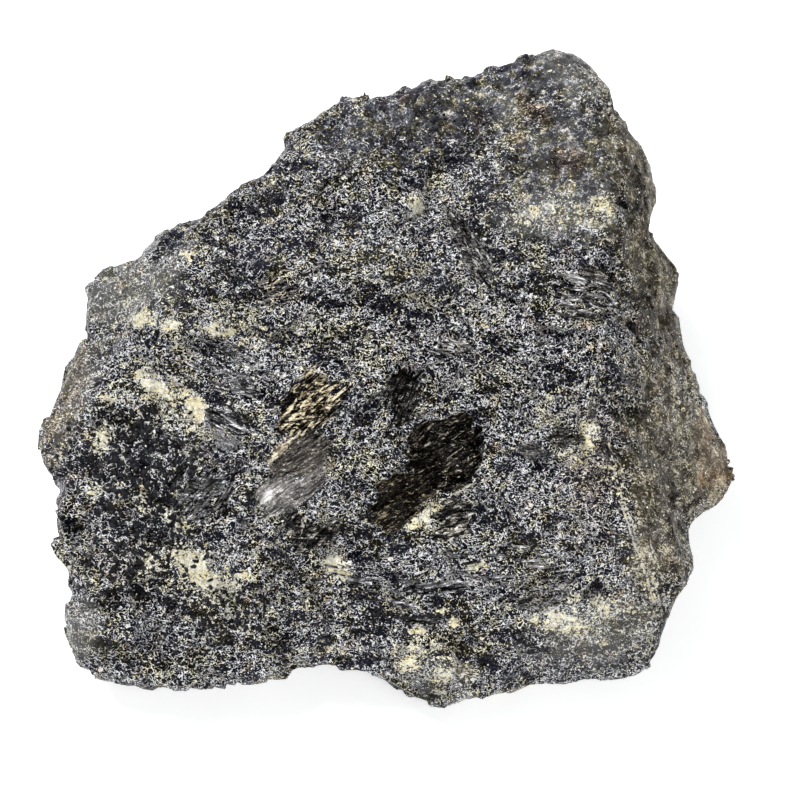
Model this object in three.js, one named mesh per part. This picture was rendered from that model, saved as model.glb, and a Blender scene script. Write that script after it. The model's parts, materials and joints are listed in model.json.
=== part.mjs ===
// Hornblende hand specimen: one broken piece of coarse, almost black amphibole rock.
// It grew and broke as one piece, so it is one closed solid, the mesh named "stone".
//
// Units are millimetres. +Z is up, and the stone rests on Z = 0. +X runs along its width, and -Y is the
// side that its broad broken face leans towards. The origin is under the middle of its bounding box.
//
// The stone is drawn in the frame of its broad face, a plane that leans FACE_LEAN_DEG back from level:
// u runs across the face, v runs up it, and w stands out of it. Seen along w the stone has the profile
// PROFILE. Below that face it is closed by a few broken walls, which are set out in X, Y and Z.
import * as THREE from "three";
import { ImprovedNoise } from "three/addons/math/ImprovedNoise.js";
import { mergeVertices } from "three/addons/utils/BufferGeometryUtils.js";

// ---- Driving dimensions ----
const FACE_LEAN_DEG = 28; // from level to the plane that the profile is drawn in
const FACE_HEIGHT = 27; // from the table to the middle of the broad face
const WALL_TAPER = 0.12; // how fast the walls draw in behind the profile, mm per mm
const CREASE = 2.2; // width over which two broken faces round into each other
const RIM_ALLOWANCE = 0.4; // added around the profile, for what rounding takes off its corners

// The surface is cast out from a disc inside the stone that leans half as far back as the broad face.
const FACETS_ROUND = 20; // subdivision of the icosahedron that gives the directions
const HEART = new THREE.Vector3(-1, 1.5, 13); // centre of the disc, in X, Y, Z
const DISC = new THREE.Vector2(29, 27); // its half width and half depth
const FLATTEN = 1.7; // how far the directions bunch towards the two flat sides

// Profile of the stone seen along w, as [u, v] corners, anticlockwise from the tip of the right-hand lobe.
const PROFILE = [
  [45, -13.5], [43.5, -8.5], [40.5, -2.5], [38, 4], [38, 12.5], [35, 19.5], [35, 26], [32, 32],
  [29, 38], [25, 41.5], [21.5, 43], [18, 42], [13.5, 40], [8.5, 39.5], [3.5, 38], [1, 36.5],
  [-5, 36.5], [-9.5, 34.5], [-16, 28.5], [-20, 25], [-22, 22], [-28.5, 20], [-32.5, 15.5],
  [-38.5, 13.5], [-40, 10.5], [-39.5, 5], [-43.5, -4.5], [-45.5, -10], [-44, -13], [-43, -24],
  [-41.5, -27.5], [-42, -34.5], [-40, -38], [-34.5, -39.5], [-29, -41], [-20, -40], [-12, -38],
  [-4.5, -38.5], [0, -40], [4.5, -43], [12, -42], [22, -41], [32, -39.5], [36.5, -34.5],
  [38, -27.5], [40, -23.5], [39.5, -19.5], [43.5, -17],
];

// The broad face: its slope across and up, and the faces that break away from it. Each face starts at a
// point of its crease, faces away along "down" in the u-v plane, and falls by "slope" mm per mm.
const BROAD_SLOPE = new THREE.Vector2(0.01, -0.14);
const BREAKS = {
  brow: { at: [0, 19], down: [-0.12, 0.99], slope: 0.3 }, // the upper face, which lies back
  browRim: { at: [-13, 25.5], down: [-0.535, 0.845], slope: 0.85 },
  shoulder: { at: [28, 31], down: [0.85, 0.52], slope: 1.15 },
  apron: { at: [0, -19], down: [0.1, -0.995], slope: 0.34 }, // the lower face, which leans forward
  toe: { at: [20, -28.5], down: [0.336, -0.94], slope: 0.72 },
  lip: { at: [0, -34], down: [0, -1], slope: 0.95 },
  corner: { at: [-34, -29], down: [-0.66, -0.75], slope: 0.8 },
};
// The weathered right-hand side is two faces that meet in a valley, so the lesser fall holds.
const FLANK_UPPER = { at: [28, 0], down: [1, 0.03], slope: 1.35 };
const FLANK_LOWER = { at: [29.5, -14], down: [0.959, 0.283], slope: 1.25 };
// The ledge on the left: a step down from the broad face, and a gentle slope beyond it.
const LEDGE = { at: [-26.5, 14], down: [-0.85, 0.526], slope: 0.5 };
const LEDGE_STEP = { drop: 3.2, over: 3.5 };

// Walls below the broad face, as a point on each and the way it faces, in X, Y, Z.
const WALLS = [
  { at: [10, 44, 22], facing: [0.08, 0.97, -0.12] }, // back
  { at: [-14, 31.5, 18], facing: [-0.52, 0.84, -0.1] }, // back left
  { at: [34, 29, 16], facing: [0.8, 0.58, -0.1] }, // back right
  { at: [-40, 6, 9], facing: [-0.78, 0.2, -0.6] }, // under the ledge
  { at: [43.5, -5, 1], facing: [0.66, 0.1, -0.74] }, // under the lobe
  { at: [8, 38, 6], facing: [0.1, 0.66, -0.75] }, // heel
  { at: [-40, -29, 1], facing: [-0.74, -0.2, -0.64] }, // under the left-hand corner
  { at: [-20, 22, 4], facing: [-0.42, 0.6, -0.68] }, // under the back left
];

// The underside swells down to the table, which takes a flat patch off it.
const BELLY = { at: [0, -5], drop: 1.1, rise: 2.8, over: 36 };

// The hollow under the front edge, as an ellipsoid in X, Y, Z.
const ARCH = { at: [-7, -44, -2], radius: [15, 13, 7.5] };

// Dishes in the broad face, in the u-v plane. The first three are where big crystals broke out.
const PITS = [
  { at: [7.4, -9.6], r: 4.6, depth: 2.2 },
  { at: [0.8, -16.6], r: 3.6, depth: 1.8 },
  { at: [1.4, -1.6], r: 2.6, depth: 1.3 },
  { at: [-10.5, -9.5], r: 6, depth: 1.0 },
  { at: [-36, -27.5], r: 4.5, depth: 1.3 },
  { at: [10.5, 30.5], r: 9, depth: 1.2 },
  { at: [-19, 5], r: 11, depth: 1.0 },
  { at: [33, 21], r: 4, depth: 1.2 },
  { at: [22, -24], r: 7, depth: 0.9 },
];

// Unevenness of the broken surface, from broad swells to hackly ridges, and how much of it the rim takes.
const ROUGHNESS = [
  { span: 23, height: 1.1, ridged: false },
  { span: 11, height: 0.8, ridged: true },
  { span: 5.5, height: 0.42, ridged: false },
];
const RIM_SHARE = 0.25;

// ---- Field of the stone: below zero inside it, above zero outside it ----
const STEEPNESS = 0.8; // height above a sloping face to distance from it
const lean = THREE.MathUtils.degToRad(FACE_LEAN_DEG);
const noise = new ImprovedNoise();

const along = ({ at, down, slope }, u, v) =>
  slope * ((u - at[0]) * down[0] + (v - at[1]) * down[1]);

function smoothMax(a, b, width) {
  const overlap = Math.max(width - Math.abs(a - b), 0) / width;
  return Math.max(a, b) + (overlap * overlap * width) / 4;
}

// Distance in the u-v plane to the profile, below zero inside it.
function profileDistance(u, v) {
  let nearest = Infinity;
  let inside = false;
  for (let i = 0, j = PROFILE.length - 1; i < PROFILE.length; j = i, i += 1) {
    const [ax, ay] = PROFILE[j];
    const [bx, by] = PROFILE[i];
    const dx = bx - ax;
    const dy = by - ay;
    const share = THREE.MathUtils.clamp(((u - ax) * dx + (v - ay) * dy) / (dx * dx + dy * dy), 0, 1);
    nearest = Math.min(nearest, Math.hypot(u - ax - share * dx, v - ay - share * dy));
    if (by > v !== ay > v && u < ((ax - bx) * (v - by)) / (ay - by) + bx) inside = !inside;
  }
  return inside ? -nearest : nearest;
}

// Height in w of the broad face and of the faces that fall away from it.
function faceHeight(u, v) {
  let fall = 0;
  for (const face of Object.values(BREAKS)) fall = smoothMax(fall, along(face, u, v), CREASE);
  const flank = -smoothMax(-along(FLANK_UPPER, u, v), -along(FLANK_LOWER, u, v), CREASE);
  fall = smoothMax(fall, flank, CREASE);
  const past = along({ ...LEDGE, slope: 1 }, u, v);
  const step = LEDGE_STEP.drop * THREE.MathUtils.smoothstep(past, 0, LEDGE_STEP.over);
  fall = smoothMax(fall, step + LEDGE.slope * past, CREASE);
  let height = BROAD_SLOPE.x * u + BROAD_SLOPE.y * v - fall;
  for (const pit of PITS) {
    const far = Math.hypot(u - pit.at[0], v - pit.at[1]) / pit.r;
    height -= pit.depth * (1 - THREE.MathUtils.smoothstep(far, 0.45, 1.1));
  }
  return height;
}

function roughness(p) {
  let sum = 0;
  for (const { span, height, ridged } of ROUGHNESS) {
    const n = noise.noise(p.x / span + 3.7, p.y / span + 8.1, p.z / span + 1.3);
    sum += height * (ridged ? 0.5 - 2 * Math.abs(n) : n);
  }
  return sum;
}

// From X, Y, Z to u, v, w of the broad face.
const toFace = (p) =>
  new THREE.Vector3(
    p.x,
    p.y * Math.cos(lean) + (p.z - FACE_HEIGHT) * Math.sin(lean),
    -p.y * Math.sin(lean) + (p.z - FACE_HEIGHT) * Math.cos(lean),
  );

function stoneField(p) {
  const q = toFace(p);
  const height = faceHeight(q.x, q.y);
  const rough = roughness(p);
  const front = (q.z - height) * STEEPNESS - rough;
  const rim = profileDistance(q.x, q.y) - RIM_ALLOWANCE;
  const side = rim + WALL_TAPER * Math.max(0, height - q.z) - RIM_SHARE * rough;
  let field = smoothMax(front, side, CREASE * 0.5);
  for (const { at, facing } of WALLS) {
    const out = new THREE.Vector3(...facing).normalize();
    const wall = (p.x - at[0]) * out.x + (p.y - at[1]) * out.y + (p.z - at[2]) * out.z - rough;
    field = smoothMax(field, wall, CREASE);
  }
  const arch = Math.hypot(
    (p.x - ARCH.at[0]) / ARCH.radius[0],
    (p.y - ARCH.at[1]) / ARCH.radius[1],
    (p.z - ARCH.at[2]) / ARCH.radius[2],
  );
  field = smoothMax(field, (1 - arch) * ARCH.radius[2], CREASE * 0.5);
  const aside = Math.hypot(p.x - BELLY.at[0], p.y - BELLY.at[1]) / BELLY.over;
  const underside = BELLY.rise * aside * aside - BELLY.drop - p.z - rough;
  field = smoothMax(field, underside, CREASE * 0.5);
  return Math.max(field, -p.z);
}

// ---- Surface: the points of an icosphere cast out from the disc until they leave the stone ----
const STEP = 0.6;
const HALVINGS = 26;
const SNAP = 0.01; // points this near the table lie on it
const EVENING = { rounds: 2, share: 0.35 };

function castOut(start, direction) {
  const at = (r) => start.clone().addScaledVector(direction, r);
  let outside = STEP;
  while (stoneField(at(outside)) < 0) outside += STEP;
  let inside = outside - STEP;
  for (let i = 0; i < HALVINGS; i += 1) {
    const middle = (inside + outside) / 2;
    if (stoneField(at(middle)) < 0) inside = middle;
    else outside = middle;
  }
  const hit = at(inside);
  if (Math.abs(hit.z) < SNAP) hit.z = 0;
  return hit;
}

// Moves each point part of the way to the middle of its neighbours, which evens out ragged creases.
// Points on the flat patch stay where they are.
function evenOut(surface, rounds, share) {
  const points = surface.getAttribute("position");
  const corners = surface.index.array;
  for (let round = 0; round < rounds; round += 1) {
    const sums = Array.from({ length: points.count }, () => new THREE.Vector4(0, 0, 0, 0));
    for (let i = 0; i < corners.length; i += 1) {
      const next = i % 3 === 2 ? i - 2 : i + 1;
      const [x, y, z] = [0, 1, 2].map((k) => points.getComponent(corners[next], k));
      sums[corners[i]].add(new THREE.Vector4(x, y, z, 1));
    }
    sums.forEach((sum, i) => {
      const point = new THREE.Vector3().fromBufferAttribute(points, i);
      if (point.z === 0) return;
      const middle = new THREE.Vector3(sum.x, sum.y, sum.z).divideScalar(sum.w);
      points.setXYZ(i, ...point.lerp(middle, share).toArray());
    });
  }
}

function stoneGeometry() {
  const ball = new THREE.IcosahedronGeometry(1, FACETS_ROUND);
  ball.deleteAttribute("normal");
  ball.deleteAttribute("uv");
  const surface = mergeVertices(ball, 1e-5);
  const points = surface.getAttribute("position");
  const across = new THREE.Vector3(1, 0, 0);
  for (let i = 0; i < points.count; i += 1) {
    const direction = new THREE.Vector3().fromBufferAttribute(points, i);
    direction.z *= FLATTEN;
    direction.normalize();
    const start = new THREE.Vector3(DISC.x * direction.x, DISC.y * direction.y, 0);
    start.applyAxisAngle(across, lean / 2).add(HEART);
    direction.applyAxisAngle(across, lean / 2);
    points.setXYZ(i, ...castOut(start, direction).toArray());
  }
  evenOut(surface, EVENING.rounds, EVENING.share);
  surface.computeBoundingBox();
  const middle = surface.boundingBox.getCenter(new THREE.Vector3());
  surface.translate(-middle.x, -middle.y, -surface.boundingBox.min.z);
  surface.computeVertexNormals();
  return surface;
}

// ---- The specimen ----
const amphibole = new THREE.MeshStandardMaterial({ color: 0x2c2e33, roughness: 0.62, metalness: 0 });
const stone = new THREE.Mesh(stoneGeometry(), amphibole);
stone.name = "stone";

const specimen = new THREE.Group();
specimen.add(stone);

export default specimen;
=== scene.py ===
"""Hornblende hand specimen: the visual model of one broken piece of dark amphibole rock.

The stone's broad broken face is described in a frame of its own, in millimetres: u runs across the face,
v runs up it and w stands out of it. Everything else is in metres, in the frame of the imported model.
"""

import json
import logging
import math
from dataclasses import dataclass, field
from enum import Enum

import bmesh
import bpy
import numpy as np
from mathutils import Matrix, Vector
from mathutils.bvhtree import BVHTree

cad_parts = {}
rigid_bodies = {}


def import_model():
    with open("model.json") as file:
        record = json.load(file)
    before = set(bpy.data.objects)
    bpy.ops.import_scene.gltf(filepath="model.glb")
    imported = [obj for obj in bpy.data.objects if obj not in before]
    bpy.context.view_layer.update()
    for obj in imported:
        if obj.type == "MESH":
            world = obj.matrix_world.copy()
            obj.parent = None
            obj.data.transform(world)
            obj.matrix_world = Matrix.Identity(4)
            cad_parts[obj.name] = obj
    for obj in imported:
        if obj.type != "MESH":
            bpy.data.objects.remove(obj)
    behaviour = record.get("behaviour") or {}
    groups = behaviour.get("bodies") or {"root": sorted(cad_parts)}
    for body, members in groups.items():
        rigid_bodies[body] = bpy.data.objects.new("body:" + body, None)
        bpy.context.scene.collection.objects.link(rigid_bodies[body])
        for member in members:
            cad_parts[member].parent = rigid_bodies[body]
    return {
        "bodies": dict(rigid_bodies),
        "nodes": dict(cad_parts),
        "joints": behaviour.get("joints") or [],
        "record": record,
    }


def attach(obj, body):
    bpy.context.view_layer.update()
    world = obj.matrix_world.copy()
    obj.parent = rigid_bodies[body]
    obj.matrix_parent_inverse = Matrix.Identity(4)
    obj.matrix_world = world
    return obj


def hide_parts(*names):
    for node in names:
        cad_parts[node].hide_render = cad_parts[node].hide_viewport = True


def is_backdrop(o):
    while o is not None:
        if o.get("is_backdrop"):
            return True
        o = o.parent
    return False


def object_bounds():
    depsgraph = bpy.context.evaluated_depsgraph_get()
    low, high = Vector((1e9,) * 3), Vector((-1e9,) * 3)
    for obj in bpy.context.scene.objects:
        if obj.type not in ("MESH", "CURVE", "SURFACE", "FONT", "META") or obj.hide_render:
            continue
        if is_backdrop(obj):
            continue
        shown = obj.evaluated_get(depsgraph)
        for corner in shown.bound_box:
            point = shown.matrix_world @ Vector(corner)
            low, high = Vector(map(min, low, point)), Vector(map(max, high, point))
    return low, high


LOG = logging.getLogger("hornblende")
MM = 0.001
SEED = 20
FACE_DIRECTION = (0.0, -0.469, 0.883)
EDGE_REACH = 3.0  # millimetres over which a crystal's edge value runs from nought to one
NOISE_TABLE = 1024  # random directions in a noise table; a power of two
OVAL_CORNERS = 14
WELD_DISTANCE = 1e-6
TINY = 1e-9
RESTING_HEIGHT = 0.02 * MM  # lower points than this lie on the ground and stay there
HALF_TURN = 3.14
MIDDLE_COLOUR = (0.5, 0.5, 0.5)


# ---------------------------------------------------------------------------------------------------
# Geometry helpers
# ---------------------------------------------------------------------------------------------------


@dataclass(frozen=True)
class FaceFrame:
    """The frame of the stone's broad face, which leans back from level."""

    middle: tuple[float, float, float] = (0.56, -4.07, 27.0)
    lean_deg: float = 28.0

    @property
    def axes(self) -> np.ndarray:
        """Rows are the directions of u, v and w in the model's frame."""
        lean = math.radians(self.lean_deg)
        return np.array(
            [
                [1.0, 0.0, 0.0],
                [0.0, math.cos(lean), math.sin(lean)],
                [0.0, -math.sin(lean), math.cos(lean)],
            ]
        )

    def to_face(self, points: np.ndarray) -> np.ndarray:
        """Turns points in metres into u, v, w in millimetres."""
        return (points / MM - np.array(self.middle)) @ self.axes.T

    def to_model(self, face_points: np.ndarray) -> np.ndarray:
        """Turns u, v, w in millimetres into points in metres."""
        return (face_points @ self.axes + np.array(self.middle)) * MM


class LatticeNoise:
    """Repeatable three-dimensional noise and cell patterns, worked out for many points at once."""

    def __init__(self, seed: int) -> None:
        """Draws the tables of random directions and offsets.

        Args:
            seed: picks the pattern.
        """
        draw = np.random.default_rng(seed)
        self.order = draw.permutation(NOISE_TABLE)
        directions = draw.normal(size=(NOISE_TABLE, 3))
        self.directions = directions / np.linalg.norm(directions, axis=1, keepdims=True)
        self.offsets = draw.random((NOISE_TABLE, 3))

    def _key(self, cell: np.ndarray) -> np.ndarray:
        """Gives each lattice cell a number from 0 to 1023."""
        last = NOISE_TABLE - 1
        mixed = self.order[cell[..., 0] & last]
        mixed = self.order[(mixed + cell[..., 1]) & last]
        return self.order[(mixed + cell[..., 2]) & last]

    def at(self, points: np.ndarray, span: float) -> np.ndarray:
        """Smooth noise from about -1 to 1.

        Args:
            points: places, as rows of three.
            span: size of the swells, in the unit of the points.

        Returns:
            One value for each point.
        """
        scaled = points / span
        corner = np.floor(scaled).astype(int)
        inside = scaled - corner
        ease = inside**3 * (inside * (inside * 6 - 15) + 10)
        total = np.zeros(len(points))
        for step in np.ndindex(2, 2, 2):
            shift = np.array(step)
            pull = self.directions[self._key(corner + shift)]
            height = np.einsum("ij,ij->i", pull, inside - shift)
            weight = np.prod(np.where(shift == 1, ease, 1 - ease), axis=1)
            total += height * weight
        return total * 1.6

    def layered(self, points: np.ndarray, span: float, layers: int = 3, gain: float = 0.5) -> np.ndarray:
        """Noise with finer and weaker layers added.

        Args:
            points: places, as rows of three.
            span: size of the broadest swells.
            layers: how many layers there are.
            gain: strength of each layer against the one before.

        Returns:
            One value for each point.
        """
        total = np.zeros(len(points))
        for layer in range(layers):
            total += gain**layer * self.at(points + 17.3 * layer, span / 2.03**layer)
        return total

    def cells(self, points: np.ndarray, span: float) -> tuple[np.ndarray, np.ndarray]:
        """Finds the random cell that each point is in.

        Args:
            points: places, as rows of three.
            span: size of a cell.

        Returns:
            The offset from the nearest centre, and that cell's number from 0 to 1023.
        """
        scaled = points / span
        corner = np.floor(scaled).astype(int)
        best = np.full(len(points), np.inf)
        offset = np.zeros_like(scaled)
        number = np.zeros(len(points), int)
        for step in np.ndindex(3, 3, 3):
            cell = corner + np.array(step) - 1
            key = self._key(cell)
            away = scaled - (cell + self.offsets[key])
            far = np.linalg.norm(away, axis=1)
            closer = far < best
            offset[closer] = away[closer]
            number[closer] = key[closer]
            best = np.where(closer, far, best)
        return offset * span, number

    def facets(self, points: np.ndarray, span: float) -> np.ndarray:
        """Height of small tilted planes, one for each cell, as on a hackly fracture.

        Args:
            points: places, as rows of three.
            span: size of a facet.

        Returns:
            Height for each point, in the unit of the points, for planes that slope by up to 1.
        """
        offset, number = self.cells(points, span)
        tilt = self.directions[number]
        level = self.offsets[number, 0] - 0.5
        return np.einsum("ij,ij->i", offset, tilt) + level * span * 0.6


def smoothstep(low: float, high: float, value: np.ndarray) -> np.ndarray:
    """Rises smoothly from 0 at low to 1 at high."""
    share = np.clip((value - low) / (high - low), 0.0, 1.0)
    return share * share * (3 - 2 * share)


def read_points(mesh: bpy.types.Mesh, name: str = "co") -> np.ndarray:
    """Reads the places or the normals of a mesh's vertices as rows of three."""
    values = np.empty(len(mesh.vertices) * 3, np.float32)
    mesh.vertices.foreach_get(name, values)
    return values.reshape(-1, 3).astype(float)


def write_points(mesh: bpy.types.Mesh, points: np.ndarray) -> None:
    """Moves a mesh's vertices to new places."""
    mesh.vertices.foreach_set("co", points.astype(np.float32).ravel())
    mesh.update()


def write_share(mesh: bpy.types.Mesh, name: str, values: np.ndarray) -> None:
    """Stores one number for each vertex."""
    layer = mesh.attributes.new(name, "FLOAT", "POINT")
    layer.data.foreach_set("value", values.astype(np.float32))


def read_share(mesh: bpy.types.Mesh, name: str) -> np.ndarray:
    """Reads one number for each vertex."""
    values = np.empty(len(mesh.vertices), np.float32)
    mesh.attributes[name].data.foreach_get("value", values)
    return values


def write_vector(mesh: bpy.types.Mesh, name: str, values: np.ndarray) -> None:
    """Stores one vector for each vertex."""
    layer = mesh.attributes.new(name, "FLOAT_VECTOR", "POINT")
    layer.data.foreach_set("vector", values.astype(np.float32).ravel())


def read_vector(mesh: bpy.types.Mesh, name: str) -> np.ndarray:
    """Reads one vector for each vertex."""
    values = np.empty(len(mesh.vertices) * 3, np.float32)
    mesh.attributes[name].data.foreach_get("vector", values)
    return values.reshape(-1, 3)


def finish_piece(name: str, mesh: bpy.types.Mesh, smooth: bool) -> bpy.types.Object:
    """Puts a mesh in the scene as a piece that rides on the stone.

    Args:
        name: the piece's name.
        mesh: its mesh, in metres, in the frame of the model.
        smooth: whether its faces are smooth shaded.

    Returns:
        The new object.
    """
    mesh.polygons.foreach_set("use_smooth", np.full(len(mesh.polygons), smooth))
    mesh.update()
    piece = bpy.data.objects.new(name, mesh)
    bpy.context.scene.collection.objects.link(piece)
    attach(piece, "root")
    LOG.info("%s: %d faces", name, len(mesh.polygons))
    return piece


# ---------------------------------------------------------------------------------------------------
# What grows in the broad face
# ---------------------------------------------------------------------------------------------------


class Growth(Enum):
    """Kinds of patch in the rock's surface; the value is the attribute that carries each one."""

    FELDSPAR = "feldspar"  # cream grains
    PALE = "pale"  # dusty, lighter matrix
    LIGHT = "light"  # more pale filaments than elsewhere
    OLIVE = "olive"  # weathered skin
    RUST = "rust"  # brown iron stain
    DARK = "dark"  # dense black amphibole
    NET = "net"  # round black grains in a pale net
    SOFT = "soft"  # worn, with less contrast between grains


@dataclass(frozen=True)
class Patch:
    """One soft-edged elliptical patch of the broad face, in millimetres."""

    growth: Growth
    u: float
    v: float
    long: float
    short: float
    turn: float = 0.0
    strength: float = 1.0
    depth: float = 0.0  # how far it sinks; it stands out where this is less than nought
    crisp: float = 0.5  # share of its width that has it in full, before it fades

    def mask(self, face: np.ndarray, ragged: np.ndarray) -> np.ndarray:
        """How much of the patch each point has.

        Args:
            face: points as u, v, w rows.
            ragged: noise that frays the patch's edge, one value for each point.

        Returns:
            A share from 0 to strength.
        """
        angle = math.radians(self.turn)
        du = face[:, 0] - self.u
        dv = face[:, 1] - self.v
        along = (du * math.cos(angle) + dv * math.sin(angle)) / self.long
        across = (-du * math.sin(angle) + dv * math.cos(angle)) / self.short
        far = np.hypot(along, across) + 0.30 * ragged
        return self.strength * (1 - smoothstep(self.crisp, 1.5 - 0.5 * self.crisp, far))


FELDSPAR, PALE, LIGHT = Growth.FELDSPAR, Growth.PALE, Growth.LIGHT
OLIVE, RUST, DARK, NET, SOFT = Growth.OLIVE, Growth.RUST, Growth.DARK, Growth.NET, Growth.SOFT

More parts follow.
